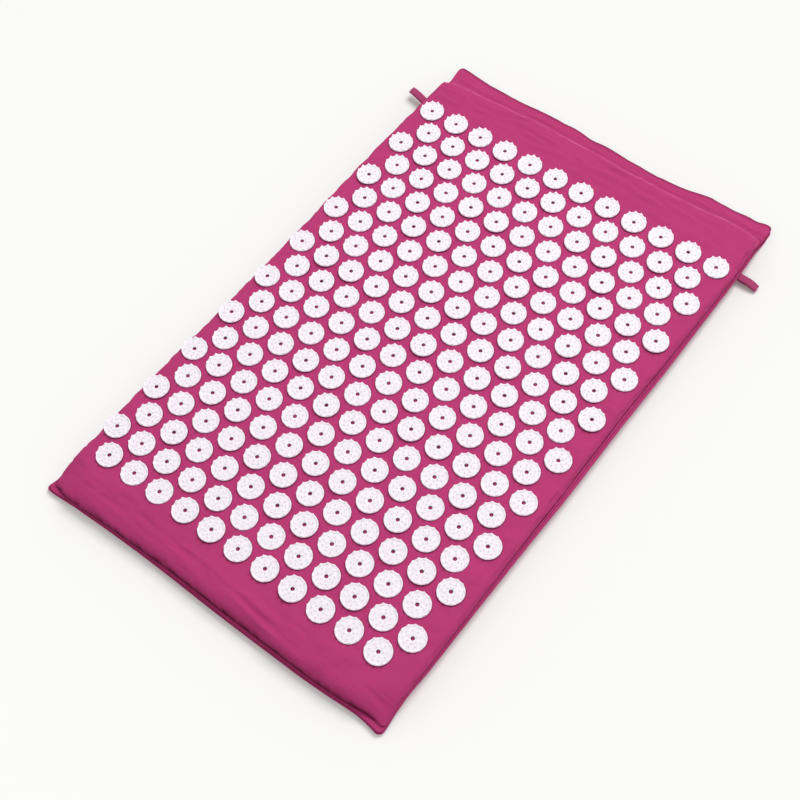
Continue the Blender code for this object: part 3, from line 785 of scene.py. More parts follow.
def crease_shade_mask(skin, rings):
    """How much painted shade darkens each point: most on the crease at the foot of the roll, where
    the fold lies in shade, and less on the cloth's cut edge and on the left side's sewn edge. The
    painted shade weakens at the near corners and on the closure band."""
    tables = np.zeros((2, len(rings)))
    for table, shades in zip(tables, (SIDE_CREASE_SHADE, NEAR_CREASE_SHADE)):
        table[CREASE_SHADE_FIRST:CREASE_SHADE_FIRST + len(shades)] = shades
    edge = np.zeros(len(rings))
    edge[-2:] = OUTER_SHADE
    masks = [np.zeros(skin.x.size)]
    for number, ring in enumerate(rings):
        x, y = ring[:, 0], ring[:, 1]
        to_end = 1 - ease((y - NEAR_END_Y - 6 * MM) / (12 * MM))
        on_band = ease((y - HINGE_Y + 8 * MM) / (8 * MM))
        on_band = blend(side_falls(y), on_band, ease(4 * x / SEAM_X))
        shade = blend(tables[0, number] * SIDE_WEIGHT, tables[1, number], to_end)
        shade = shade * (1 - BAND_WEAKENS * on_band)
        shade = np.clip(shade * (1 + 0.22 * waves(x, y, *CREASE_VARIES)), 0, 1)
        run_out = ease((np.abs(x) - SEAM_X + 16 * MM) / (12 * MM))
        run_out = run_out * ease((NEAR_END_Y + 46 * MM - y) / (22 * MM))
        shade = np.maximum(shade * (1 - EARS_WEAKEN * run_out), edge[number])
        if number >= LEFT_FIRST:
            left = ease(-x / SEAM_X * 8 - 6) * (1 - to_end)
            shade = np.maximum(shade, left * LEFT_SHADE * (1 - side_falls(y)))
        masks.append(shade)
    return np.concatenate(masks)


def border_mask(points):
    """1 in the bare borders at both ends of the top, where the cloth creases, and a third
    elsewhere."""
    y = points[..., 1]
    near = ease((NEAR_END_Y + CREASED_DEPTH - y) / CREASED_FADE)
    far = ease((y - FAR_WALL_Y + CREASED_DEPTH) / CREASED_FADE)
    return PLAIN_BORDER + 0.67 * np.maximum(near, far)


# Nodes

def feed(tree, target, inputs):
    """Gives a node's inputs, by name or number, sockets to be linked to or values to hold."""
    for label, value in inputs.items():
        if isinstance(value, bpy.types.NodeSocket):
            tree.links.new(value, target.inputs[label])
        else:
            target.inputs[label].default_value = value


def add_node(tree, kind, inputs, **attributes):
    """A new node with its attributes set and its inputs fed."""
    node = tree.nodes.new("ShaderNode" + kind)
    for label, value in attributes.items():
        setattr(node, label, value)
    feed(tree, node, inputs)
    return node


def math_node(tree, operation, *values):
    """A Math node's output, from sockets or numbers."""
    return add_node(tree, "Math", dict(enumerate(values)), operation=operation).outputs[0]


def times(tree, first, second):
    """The product of two sockets or numbers."""
    return math_node(tree, "MULTIPLY", first, second)


def plus(tree, first, second):
    """The sum of two sockets or numbers."""
    return math_node(tree, "ADD", first, second)


def minus(tree, first, second):
    """The first of two sockets or numbers less the second."""
    return math_node(tree, "SUBTRACT", first, second)


def mapped(tree, value, start, end):
    """0 where a value is at start or before it, 1 where it is at end or past it, and even between
    them. The end may be the lower of the two."""
    inputs = {"Value": value, "From Min": start, "From Max": end}
    return add_node(tree, "MapRange", inputs).outputs[0]


def mix_colours(tree, share, first, second):
    """A colour that lies a share of the way from the first to the second."""
    inputs = {0: share, 6: first, 7: second}
    return add_node(tree, "Mix", inputs, data_type="RGBA").outputs[2]


def noise(tree, vector, scale, detail=3.0, roughness=0.5):
    """A Noise Texture's value at a vector."""
    inputs = {"Vector": vector, "Scale": scale, "Detail": detail, "Roughness": roughness}
    return add_node(tree, "TexNoise", inputs).outputs["Fac"]


def stretched(tree, vector, scale):
    """A vector scaled by its own amount along each axis."""
    return add_node(tree, "Mapping", {"Vector": vector, "Scale": scale}).outputs["Vector"]


def stored(tree, name):
    """The number that the mesh stores for each point under a name."""
    return add_node(tree, "Attribute", {}, attribute_name=name).outputs["Fac"]


# Shader node groups that several materials share

RIM_SHADOW_REACH = 0.95 * MM  # how far past a disc's rim its painted shadow reaches
SHADE_DEPTH = (3.0 * MM, 1.5 * MM)  # how far below the top that painted shadow has ended, and starts to
BORE_SPOT = (0.45, 0.62)  # the spot under a disc's bore that the painted shadow leaves out, as shares of the bore's radius


def new_group(name, inputs, outputs):
    """An empty shader node group with the named sockets, and its ends. Each input is (name, type,
    default)."""
    group = bpy.data.node_groups.new(name, "ShaderNodeTree")
    for label, kind, default in inputs:
        socket = group.interface.new_socket(label, in_out="INPUT", socket_type=kind)
        if default is not None:
            socket.default_value = default
    for label, kind in outputs:
        group.interface.new_socket(label, in_out="OUTPUT", socket_type=kind)
    return group, group.nodes.new("NodeGroupInput").outputs, group.nodes.new("NodeGroupOutput")


def plain_weave_group():
    """Plain weave: at each crossing of the threads one of them lies on top, and which one
    alternates like a chessboard. Height is the upper thread's round back."""
    group, given, outlet = new_group(
        "plain weave",
        [("Vector", "NodeSocketVector", None), ("Threads", "NodeSocketFloat", 1800.0)],
        [("Height", "NodeSocketFloat")],
    )
    scaled = add_node(
        group, "VectorMath", {0: given["Vector"], "Scale": given["Threads"]}, operation="SCALE"
    )
    split = add_node(group, "SeparateXYZ", {0: scaled.outputs[0]})
    backs, cells = [], []
    for axis in ("X", "Y"):
        turned = times(group, split.outputs[axis], math.pi)
        backs.append(math_node(group, "ABSOLUTE", math_node(group, "SINE", turned)))
        cells.append(math_node(group, "FLOOR", split.outputs[axis]))
    parity = math_node(group, "PINGPONG", plus(group, *cells), 1.0)
    warp = times(group, backs[0], parity)
    weft = times(group, backs[1], minus(group, 1.0, parity))
    feed(group, outlet, {"Height": plus(group, warp, weft)})


def dyed_cloth_group():
    """Uneven dye and soft creases: broad and narrow noise lightens and darkens the colour, and a
    noise drawn out across the mat gives the height of fine creases, which the border's share
    weakens."""
    group, given, outlet = new_group(
        "dyed cloth",
        [
            ("Vector", "NodeSocketVector", None),
            ("Colour", "NodeSocketColor", (0.5, 0.05, 0.2, 1.0)),
            ("Light Colour", "NodeSocketColor", (0.6, 0.1, 0.3, 1.0)),
            ("Unevenness", "NodeSocketFloat", 0.3),
            ("Border", "NodeSocketFloat", 1.0),
        ],
        [("Colour", "NodeSocketColor"), ("Crease", "NodeSocketFloat")],
    )
    place = given["Vector"]
    broad = noise(group, place, 7.0, 3.0, 0.55)
    fine = noise(group, place, 420.0, 2.0)
    mixed = plus(group, times(group, broad, 0.65), times(group, fine, 0.35))
    share = times(group, mixed, given["Unevenness"])
    long_creases = noise(group, stretched(group, place, (11.0, 95.0, 60.0)), 1.0, 3.0)
    short_creases = noise(group, stretched(group, place, (42.0, 150.0, 80.0)), 1.0, 2.0)
    creases = plus(group, times(group, long_creases, 0.7), times(group, short_creases, 0.3))
    feed(group, outlet, {
        "Colour": mix_colours(group, share, given["Colour"], given["Light Colour"]),
        "Crease": times(group, creases, given["Border"]),
    })


def disc_rim_shadow_group(discs):
    """The painted shadow of the discs on the cloth: 1 within a millimetre of a disc's rim and under
    it, apart from a spot at its centre, and none on the cover's sides. The discs stand on two
    lattices, those of the short rows and those of the long ones, and each fold of the plan back on
    to one cell gives the nearest centre."""
    group, given, outlet = new_group(
        "disc rim shadows", [("Vector", "NodeSocketVector", None)], [("Shade", "NodeSocketFloat")]
    )
    x, y, z = add_node(group, "SeparateXYZ", {0: given["Vector"]}).outputs[:]
    column = math_node(group, "ABSOLUTE", x)
    last_y = FIRST_ROW_Y + (discs.rows - 1) * discs.pitch_y
    shades = []
    for count, low, high in (
        (discs.long_row - 1, FIRST_ROW_Y, last_y - discs.pitch_y),
        (discs.long_row, FIRST_ROW_Y + discs.pitch_y, last_y),
    ):
        shift = (count + 1) % 2 * discs.pitch_x / 2
        across = math_node(group, "PINGPONG", minus(group, column, shift), discs.pitch_x / 2)
        past_last = minus(group, column, (count - 1) / 2 * discs.pitch_x)
        across = math_node(group, "MAXIMUM", across, past_last)
        along = math_node(group, "PINGPONG", minus(group, y, low), discs.pitch_y)
        reach = math_node(group, "ABSOLUTE", minus(group, y, (low + high) / 2))
        along = math_node(group, "MAXIMUM", along, minus(group, reach, (high - low) / 2))
        squares = [math_node(group, "POWER", way, 2.0) for way in (across, along)]
        distance = math_node(group, "SQRT", plus(group, *squares))
        shade = mapped(group, distance, discs.rim + RIM_SHADOW_REACH, discs.rim + 0.1 * MM)
        spot = mapped(group, distance, *(share * discs.bore for share in BORE_SPOT))
        shades.append(times(group, shade, spot))
    on_top = mapped(group, z, *(TOP - depth for depth in SHADE_DEPTH))
    shade = times(group, math_node(group, "MAXIMUM", *shades), on_top)
    feed(group, outlet, {"Shade": shade})


def cell_group():
    """Open cells or fluff: the distance to scattered points, as a height."""
    group, given, outlet = new_group(
        "cells",
        [("Vector", "NodeSocketVector", None), ("Scale", "NodeSocketFloat", 900.0)],
        [("Height", "NodeSocketFloat")],
    )
    cells = add_node(group, "TexVoronoi", {label: given[label] for label in ("Vector", "Scale")})
    feed(group, outlet, {"Height": cells.outputs["Distance"]})


def shared_groups():
    """Makes the shared node groups once."""
    if "cells" not in bpy.data.node_groups:
        plain_weave_group()
        dyed_cloth_group()
        cell_group()
        disc_rim_shadow_group(bpy.context.scene.mat_discs)


def place_group(tree, name, inputs):
    """The outputs of a shared node group, placed in a material with its inputs fed."""
    shared_groups()
    return add_node(tree, "Group", inputs, node_tree=bpy.data.node_groups[name]).outputs


# Materials

# Colours of painted shade in the crease, painted shadow round the discs, a painted highlight on the
# ridge, and painted shade in the pin marks and down the bore
CREASE_SHADE_COLOUR = (0.105, 0.001, 0.027, 1.0)
RIM_SHADOW_COLOUR = (0.085, 0.008, 0.036, 1.0)
RIDGE_HIGHLIGHT_COLOUR = (0.68, 0.14, 0.32, 1.0)
PIN_MARK_SHADE_COLOUR = (0.52, 0.52, 0.58, 1.0)
BORE_SHADE_COLOUR = (0.16, 0.012, 0.045, 1.0)


def new_material(name, roughness, sheen=0.0, specular=0.5):
    """A material with a Principled shader whose constants are on its own sockets. It returns the
    material, its tree, the shader and the texture coordinates."""
    material = bpy.data.materials.new(name)
    material.use_nodes = True
    tree = material.node_tree
    shader = tree.nodes["Principled BSDF"]
    feed(tree, shader, {
        "Roughness": roughness, "Sheen Weight": sheen, "Specular IOR Level": specular,
    })
    return material, tree, shader, tree.nodes.new("ShaderNodeTexCoord").outputs


def add_bump(tree, shader, height, distance, strength, **under):
    """A Bump node from a height to the shader's normal, over another bump's Normal if one is
    given."""
    inputs = {"Distance": distance, "Strength": strength, "Height": height, **under}
    normal = add_node(tree, "Bump", inputs).outputs["Normal"]
    feed(tree, shader, {"Normal": normal})
    return normal


def surface(tree, shader, base, varying, amount, level):
    """Gives a shader its colour, and a roughness of a level plus a varying amount."""
    rough = plus(tree, times(tree, varying, amount), level)
    feed(tree, shader, {"Base Color": base, "Roughness": rough})


def toned(colour, share):
    """A colour made lighter or darker by a factor, as four numbers."""
    return tuple(min(1.0, c * share) for c in colour) + (1.0,)


def cotton_material(cover):
    """Dyed cotton in plain weave, with uneven dye, fine creases, and a painted highlight along the
    ridge and on the threads' backs. Painted shade darkens it where the stored crease mask marks the
    fold and the cut edge, and a painted shadow darkens it round the discs' rims."""
    material, tree, shader, places = new_material("cotton_cover", 0.9, sheen=0.03, specular=0.12)
    feed(tree, shader, {"Sheen Roughness": 0.4})
    dye = place_group(tree, "dyed cloth", {
        "Vector": places["Object"], "Colour": toned(cover.colour, 0.90),
        "Light Colour": toned(cover.colour, 1.10), "Unevenness": 1.0,
        "Border": stored(tree, "border"),
    })
    weave = place_group(
        tree, "plain weave", {"Vector": places["UV"], "Threads": 1.0 / cover.thread}
    )
    rims = place_group(tree, "disc rim shadows", {"Vector": places["Object"]})
    base = dye["Colour"]
    # Painted light: a highlight along the ridge and on the threads' backs, shade in the crease and at
    # the cut edge, and the discs' shadow round their rims
    for mask, share, tone in (
        (stored(tree, "ridge"), 0.8, RIDGE_HIGHLIGHT_COLOUR),
        (weave["Height"], 0.25, toned(cover.colour, 1.16)),
        (stored(tree, "crease"), 0.92, CREASE_SHADE_COLOUR),
        (rims["Shade"], 0.8, RIM_SHADOW_COLOUR),
    ):
        base = mix_colours(tree, times(tree, mask, share), base, tone)
    surface(tree, shader, base, dye["Crease"], 0.10, 0.84)
    creased = add_bump(tree, shader, dye["Crease"], 3.4 * MM, 0.6)
    add_bump(tree, shader, weave["Height"], 0.10 * MM, 0.6, Normal=creased)
    return material


def plastic_material(discs):
    """Moulded plastic: almost white, faintly uneven, softly glossy, lit from within as thin plastic
    is, and with a painted lavender glow of its own that lightens it under any light. Painted shade
    makes the pin marks greyer and darkens the bore in the cloth's dark red."""
    material, tree, shader, places = new_material("disc_plastic", 0.46, specular=0.22)
    # The emission is a painted glow: the plastic gives off a faint lavender light of its own
    feed(tree, shader, {
        "Subsurface Weight": 1.0, "Subsurface Radius": (1.0, 1.0, 1.0),
        "Subsurface Scale": 2.4 * MM, "Emission Color": (1.0, 0.92, 1.0, 1.0),
        "Emission Strength": 0.17,
    })
    cloud = noise(tree, places["Object"], 160.0, 3.0, 0.6)
    pores = noise(tree, places["Object"], 2200.0, 2.0, 0.6)
    base = mix_colours(
        tree, times(tree, cloud, 0.6), toned(discs.colour, 1.0), toned(discs.colour, 0.95)
    )
    # Painted shade: greyer in the pin marks' dimples and dark red down the bore
    for mask, tone in (("pin_mark_shade", PIN_MARK_SHADE_COLOUR), ("bore", BORE_SHADE_COLOUR)):
        base = mix_colours(tree, stored(tree, mask), base, tone)
    surface(tree, shader, base, cloud, 0.16, 0.38)
    add_bump(tree, shader, pores, 0.05 * MM, 0.35)
    return material


def foam_material(trim):
    """Open-cell foam: pale, matt and full of small cells, with painted shade in their hollows."""
    material, tree, shader, places = new_material("foam", 0.95, specular=0.1)
    cells = place_group(tree, "cells", {"Vector": places["Object"], "Scale": 900.0})["Height"]
    # Painted shade: darker towards each cell's hollow
    base = mix_colours(tree, cells, toned(trim.foam_colour, 0.80), toned(trim.foam_colour, 1.0))
    surface(tree, shader, base, cells, 0.1, 0.88)
    add_bump(tree, shader, cells, 0.5 * MM, 0.8)
    return material


def tape_material(name, colour, threads, sheen, fluff):
    """Narrow woven tape: ribs across its width from the weave, with a painted highlight on their
    backs and painted shade between them, and fluff or stiffness from cells.
    """
    material, tree, shader, places = new_material(name, 0.8, sheen=sheen, specular=0.3)
    weave = place_group(tree, "plain weave", {"Vector": places["UV"], "Threads": threads})["Height"]
    cells = place_group(tree, "cells", {"Vector": places["Object"], "Scale": fluff})["Height"]
    # Painted highlight on the ribs' backs and painted shade between them
    base = mix_colours(tree, times(tree, weave, 0.35), toned(colour, 0.85), toned(colour, 1.35))
    surface(tree, shader, base, weave, -0.12, 0.84)
    fluffy = add_bump(tree, shader, cells, 0.3 * MM, 0.4)
    add_bump(tree, shader, weave, 0.22 * MM, 0.8, Normal=fluffy)
    return material


def thread_material(cover):
    """Sewing thread in the cotton's colour, a little paler, with twist as fine slanting ribs."""
    material, tree, shader, places = new_material("thread", 0.6, sheen=0.1, specular=0.25)
    twist = add_node(
        tree, "TexWave", {"Vector": places["Object"], "Scale": 900.0, "Distortion": 1.0},
        bands_direction="DIAGONAL",
    )
    fuzz = noise(tree, places["Object"], 700.0, 2.0, 0.6)
    base = mix_colours(tree, fuzz, toned(cover.colour, 1.05), toned(cover.colour, 1.45))
    surface(tree, shader, base, fuzz, 0.2, 0.5)
    add_bump(tree, shader, twist.outputs["Fac"], 0.06 * MM, 0.6)
    return material


def once(name, maker):
    """The cover's material of a name, made by its maker if it isn't there yet."""
    return bpy.data.materials.get(name) or maker(bpy.context.scene.mat_cover)


# The cover and the foam

SEAM_STITCH_LOOP = 3  # which of the sewn edge's loops the stitches follow, counted from the crease
SEAM_STITCH_END = 24 * MM  # how far before the hinge they end
FLAP_STITCH_LOOPS = (1, 7)
FLAP_STITCH_INSET = 12 * MM  # how far from the long sides the flap's rows end
FLAP_STITCH_START = 15 * MM  # how far before the hinge its loops count as the flap's


class MAT_OT_top_cover(bpy.types.Operator):
    """Builds the top panel with the closure flap as one sewn sheet of cotton"""

    bl_idname = "mat.top_cover"
    bl_label = "Top Cover"

    def execute(self, context):
        cover = context.scene.mat_cover
        skin = Skin(cover.cell, *FLAT_TOP)
        grid = pressed_ears(level(fitted_grid(skin.x, skin.y), TOP))
        rings = top_rings(skin)
        quads = skin.quads(len(rings))
        places = skin.cloth_places(grid, rings)
        points = np.concatenate([grid] + rings)
        # ridge holds a painted highlight, crease painted shade in the fold and at the cut edge
        masks = {
            "ridge": ridge_highlight_mask(points), "border": border_mask(points),
            "crease": crease_shade_mask(skin, rings),
        }
        points = sewn_outline(rumpled(band_waves(points), cover))
        held = held_share(points, skin, rings, context.scene.mat_discs)
        points = settled(points, quads, held)
        cotton = once("cotton_cover", cotton_material)
        piece = mesh_object("top_cover", points, quads, places, cotton)
        add_attributes(piece, **masks)
        solidify(piece, cover.cloth)
        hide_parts("top_panel", "closure_flap")
        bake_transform(piece)
        self.sew(points, skin)
        return {"FINISHED"}

    def sew(self, points, skin):
        """Stitches along the sewn edge of the near end and the long sides, and two rows along the
        closure flap."""
        loops = points[skin.x.size:].reshape(-1, len(skin.edge), 3)[-LIP_STEPS:]
        seam = loops[SEAM_STITCH_LOOP]
        line = stitch_run(seam, seam[:, 1] < HINGE_Y - SEAM_STITCH_END)
        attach(stitches("seam_stitches", [line]), "mat")
        lines = []
        for number in FLAP_STITCH_LOOPS:
            x, y, _z = loops[number].T
            keep = (np.abs(x) < SEAM_X - FLAP_STITCH_INSET) & (y > HINGE_Y - FLAP_STITCH_START)
            lines.append(stitch_run(loops[number], keep))
        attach(stitches("flap_stitches", lines), "closure")


BOTTOM_ROLL = 3.5 * MM
ROLL_SHARE = 0.45  # how much of the way up to the crease the roll from the floor takes
LOWER_CLOTH = 1.8 * MM  # from the upper panel's outer face to the lower one's, at the seam
SIDE_HEM_SINKS = 1.9 * MM  # how far the lower sewn edge slopes down on its way out, on a long side
NEAR_HEM_SINKS = 1.0 * MM
HEM_SHORTER = 1.5 * MM  # how far the lower hem ends before the flap


def bottom_rings(skin):
    """The bottom panel's loops: a small roll up from the floor, the wall up to the crease, and the
    lower sewn edge, which lies under the upper one and shows past it. At the far end they stay on
    the floor."""
    rings = []
    flat, _near, _far = skin.outline(
        WALL_X - BOTTOM_ROLL, NEAR_WALL_Y + BOTTOM_ROLL, HINGE_Y, NO_CORNER, NO_CORNER
    )
    seam, near, far = skin.outline(SEAM_X, NEAR_END_Y, HINGE_Y + 2 * MM, EAR_CORNER, EAR_CORNER)
    seam_z = np.maximum(seam_height(*seam, near, far) - LOWER_CLOTH, 0)
    seam_z = seam_z * (1 - np.maximum(far, side_falls(seam[1])))
    wall = drawn_in(seam, SEAM_X - WALL_X, NEAR_WALL_Y - NEAR_END_Y)
    wall[1] -= far * MM
    for share in steps(4):
        angle = share * math.pi / 2
        z = ROLL_SHARE * seam_z * (1 - math.cos(angle))
        rings.append(stacked(*blend(flat, wall, math.sin(angle)), z))
    foot = drawn_in(seam, side_lip(*seam), near_lip(seam[0]))
    for share in steps(2):
        rings.append(stacked(*blend(wall, foot, share), blend(ROLL_SHARE, 1.0, share) * seam_z))
    edge, near, far = skin.outline(
        SEAM_X, NEAR_END_Y, FAR_END_Y - HEM_SHORTER, EAR_CORNER, EAR_CORNER
    )
    edge_low = np.maximum(side_falls(edge[1]), far)
    edge_z = (seam_z - blend(SIDE_HEM_SINKS, NEAR_HEM_SINKS, near)) * (1 - edge_low)
    pucker = seam_pucker(*edge) * (1 - edge_low)
    for share in steps(5):
        z = blend(seam_z, edge_z, ease(share)) + pucker * share
        rings.append(stacked(*blend(foot, edge, share), np.maximum(z, 0.0)))
    return rings


class MAT_OT_bottom_cover(bpy.types.Operator):
    """Builds the bottom panel with its hem under the flap"""

    bl_idname = "mat.bottom_cover"
    bl_label = "Bottom Cover"

    def execute(self, context):
        cover = context.scene.mat_cover
        skin = Skin(2 * cover.cell, WALL_X - BOTTOM_ROLL, NEAR_WALL_Y + BOTTOM_ROLL, HINGE_Y)
        grid = level((skin.x, skin.y), 0.0)
        rings = bottom_rings(skin)
        places = skin.cloth_places(grid, rings)
        points = sewn_outline(np.concatenate([grid] + rings))
        cotton = once("cotton_cover", cotton_material)
        faces = skin.quads(len(rings))[:, ::-1]
        piece = mesh_object("bottom_cover", points, faces, places, cotton)
        none = np.zeros(len(points))
        # No painted highlight or painted shade on the bottom panel
        add_attributes(piece, ridge=none, border=none + PLAIN_BORDER, crease=none)
        solidify(piece, cover.cloth)
        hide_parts("bottom_panel", "lower_hem")
        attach(piece, "mat")
        return {"FINISHED"}


FOAM_CELL = 10 * MM
FOAM_CORNER = 11.0 * MM
FOAM_ROUND = 2.5 * MM  # from the block's side in to its flat top
FOAM_INSET = 0.6 * MM  # from the solid's side and near face to the block's
FOAM_FOOT = 2.6 * MM  # from the solid's side to the block's underside
FOAM_SLACK = 2.4 * MM  # room under the cloth for its wrinkles
LIP_ROOM = 2.0 * MM  # from the near end's crease to the block
EAR_ROOM = 2.0 * MM  # how much lower the block is under the ears


class MAT_OT_foam(bpy.types.Operator):
    """Builds the foam block inside the cover"""

    bl_idname = "mat.foam"
    bl_label = "Foam Pad"

    def execute(self, context):
        flat_top = (FOAM_HIGH.x - FOAM_ROUND, FOAM_LOW.y + NEAR_ROLL, FOAM_HIGH.y - FAR_ROLL)
        skin = Skin(FOAM_CELL, *flat_top)
        top, base = TOP - CLOTH_CLEAR - FOAM_SLACK, FOAM_LOW.z
        upper, lower = (level((skin.x, skin.y), height) for height in (top, base))
        flat = skin.outline(*flat_top, NO_CORNER, NO_CORNER)[0]
        wall, low = (
            skin.outline(
                FOAM_HIGH.x - inset, FOAM_LOW.y + inset, FOAM_HIGH.y - far_inset, FOAM_CORNER,
                FAR_CORNER,
            )[0]
            for inset, far_inset in ((FOAM_INSET, 2 * MM), (FOAM_FOOT, 2 * FOAM_FOOT))
        )
        rings = []
        for share in steps(6):
            angle = share * math.pi / 2
            drop = NEAR_DROP * (1 - math.cos(angle))
            rings.append(level(blend(flat, wall, math.sin(angle)), top - drop))
        rings += [level(wall, base + 5 * MM), level(low, base)]
        lower_start = skin.x.size + len(skin.edge) * len(rings)
        last_ring = lower_start - len(skin.edge) + np.arange(len(skin.edge))
        quads = np.concatenate([
            skin.quads(len(rings)), loop_quads(last_ring, lower_start + skin.edge),
            grid_quads(*skin.shape, start=lower_start)[:, ::-1],
        ])
        points = self.clear_of_cloth(pressed_ears(np.concatenate([upper] + rings + [lower])))
        material = foam_material(context.scene.mat_trim)
        piece = mesh_object("foam_block", sewn_outline(points), quads, material=material)
        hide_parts("foam_pad")
        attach(piece, "mat")
        return {"FINISHED"}

    def clear_of_cloth(self, points):
        """Pushes the near face back from where the near end's sewn edge is wide, and lowers the
        block under the ears."""
        x, y, z = np.moveaxis(points, -1, 0)
        near_face = FOAM_LOW.y + FOAM_INSET
        push = np.maximum(near_lip(x) + LIP_ROOM - (near_face - NEAR_END_Y), 0)
        y = y + push * (1 - ease((y - near_face) / (22 * MM)))
        spare = np.maximum(z - FOAM_LOW.z - 1.5 * MM, 0)
        return stacked(x, y, z - np.minimum(EAR_ROOM * corner_share(x, y) ** 0.5, spare))


# Spiked discs

DIVISIONS = 36
GOLDEN_TURN = math.radians(137.5)
# A disc's rings, from under the rim up round its edge: (share of its radius, height as a share of
# the plate's)
EDGE_RINGS = ((0.965, 0.0), (0.995, 0.3), (1.0, 0.75), (0.996, 1.0))
# Then over the crown: (share of its radius, height above the plate as a share of a spike's)
CROWN_RINGS = ((0.986, 0.0), (0.988, 0.45), (0.968, 1.0), (0.900, 0.42), (0.840, 0.0), (0.770, 0.0))
# And down into the bore: (share of the bore's radius, height as a share of the plate's)
BORE_RINGS = ((1.7, 1.0), (1.08, 1.0), (1.0, 0.86), (0.94, 0.0))
SADDLE = 0.10  # how high the rim stays between two crown spikes, as a share of a spike's height
MARK_RING = len(EDGE_RINGS) + 4  # which ring carries the pin marks
MARK_DEPTH = 0.2 * MM
INNER_RINGS = ((0.62, 9), (0.36, 6))  # share of the radius and number of the inner spikes
SPIKE_SIDES = 6
SPIKE_FOOT = 1.0 * MM
# An inner spike's rings: (share of its foot's radius, share of its height)
SPIKE_PROFILE = ((1.0, -0.05), (0.62, 0.42), (0.16, 0.96))


def inner_spikes(discs):
    """The slim spikes inside the crown, each a closed six-sided needle on the plate: three rings of
    a tapering profile, and two faces that close each end."""
    around = 2 * math.pi * np.arange(SPIKE_SIDES) / SPIKE_SIDES
    width, height = (column[:, None] for column in np.array(SPIKE_PROFILE).T)
    needle = stacked(
        SPIKE_FOOT * width * np.cos(around), SPIKE_FOOT * width * np.sin(around),
        discs.plate + discs.inner * height * np.ones(SPIKE_SIDES),
    ).reshape(-1, 3)
    top = (len(SPIKE_PROFILE) - 1) * SPIKE_SIDES
    caps = [(0, 3, 2, 1), (0, 5, 4, 3), (top, top + 1, top + 2, top + 3),
            (top, top + 3, top + 4, top + 5)]
    faces = np.concatenate([grid_quads(len(SPIKE_PROFILE), SPIKE_SIDES, closed=True), caps])
    places = []
    for share, count in INNER_RINGS:
        turn = 2 * math.pi * (np.arange(count) + 0.5) / count
        radius = discs.rim * share
        places.append(stacked(radius * np.cos(turn), radius * np.sin(turn), 0 * turn))
    places = np.concatenate(places)
    points = (needle[None] + places[:, None]).reshape(-1, 3)
    quads = (faces[None] + (np.arange(len(places)) * len(needle))[:, None, None]).reshape(-1, 4)
    return points, quads


def disc_template(discs):
    """One disc. The plate and its crown are a polar grid: every third of its 36 divisions rises to
    a crown spike just inside the rim, and those between stay near the plate. The inner spikes stand
    on it. It returns the points, the faces and the masks of the painted shade in the pin marks and
    in the bore."""
    division = np.arange(DIVISIONS)
    angles = 2 * math.pi * division / DIVISIONS
    level_ring = np.ones(DIVISIONS)
    crown = np.where(division % 3 == 0, 1.0, SADDLE)
    pins = division % 9 == 4
    rings = [
        (discs.rim * share, rise * discs.plate * level_ring) for share, rise in EDGE_RINGS
    ] + [
        (discs.rim * share, discs.plate + rise * discs.crown * crown) for share, rise in CROWN_RINGS
    ] + [
        (discs.bore * share, rise * discs.plate * level_ring) for share, rise in BORE_RINGS
    ]
    points = np.stack([
        stacked(radius * np.cos(angles), radius * np.sin(angles), height)
        for radius, height in rings
    ])
    points[MARK_RING, pins, 2] -= MARK_DEPTH
    # Masks of painted shade: in the pin marks' dimples and on the bore's wall
    marks, bore = np.zeros((2, *points.shape[:2]))
    marks[MARK_RING, pins] = 1.0
    bore[-2:] = 1.0
    last = (len(rings) - 1) * DIVISIONS + division
    closing = loop_quads(last, division)[:, [0, 3, 2, 1]]
    spikes, spike_quads = inner_spikes(discs)
    plain = np.zeros(len(spikes))
    return (
        np.concatenate([points.reshape(-1, 3), spikes]),
        np.concatenate([
            grid_quads(len(rings), DIVISIONS, closed=True), closing, spike_quads + marks.size
        ]),
        {"pin_mark_shade": np.append(marks, plain), "bore": np.append(bore, plain)},
    )


class MAT_OT_discs(bpy.types.Operator):
    """Builds the rows of spiked discs, one piece for each row"""

    bl_idname = "mat.discs"
    bl_label = "Spiked Discs"

    def execute(self, context):
        discs = context.scene.mat_discs
        template, faces, masks = disc_template(discs)
        material = plastic_material(discs)
        made = 0
        for row in range(discs.rows):
            count = discs.long_row - (row + 1) % 2
            x = (np.arange(count) - (count - 1) / 2) * discs.pitch_x
            turn = GOLDEN_TURN * (made + np.arange(count))
            made += count
            cos, sin = np.cos(turn)[:, None], np.sin(turn)[:, None]
            points = stacked(
                template[:, 0] * cos - template[:, 1] * sin + x[:, None],
                template[:, 0] * sin + template[:, 1] * cos + FIRST_ROW_Y + row * discs.pitch_y,
                np.broadcast_to(template[:, 2] + DISC_BASE, (count, len(template))),
            )
            quads = faces + (np.arange(count) * len(template))[:, None, None]
            piece = mesh_object(
                f"disc_row_{row + 1:02d}", points.reshape(-1, 3), quads.reshape(-1, 4),
                material=material,
            )
            piece.data.set_sharp_from_angle(angle=math.radians(50))
            add_attributes(piece, **{name: np.tile(mask, count) for name, mask in masks.items()})
            prefix = f"disc_r{row + 1:02d}_"
            stood_for = [name for name in frame["nodes"] if name.startswith(prefix)]
            if stood_for:
                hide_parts(*stood_for)
            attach(piece, "mat")
        return {"FINISHED"}


# Tapes and side loops

TAPE_CELL = 4 * MM
TAPE_ROWS = 9


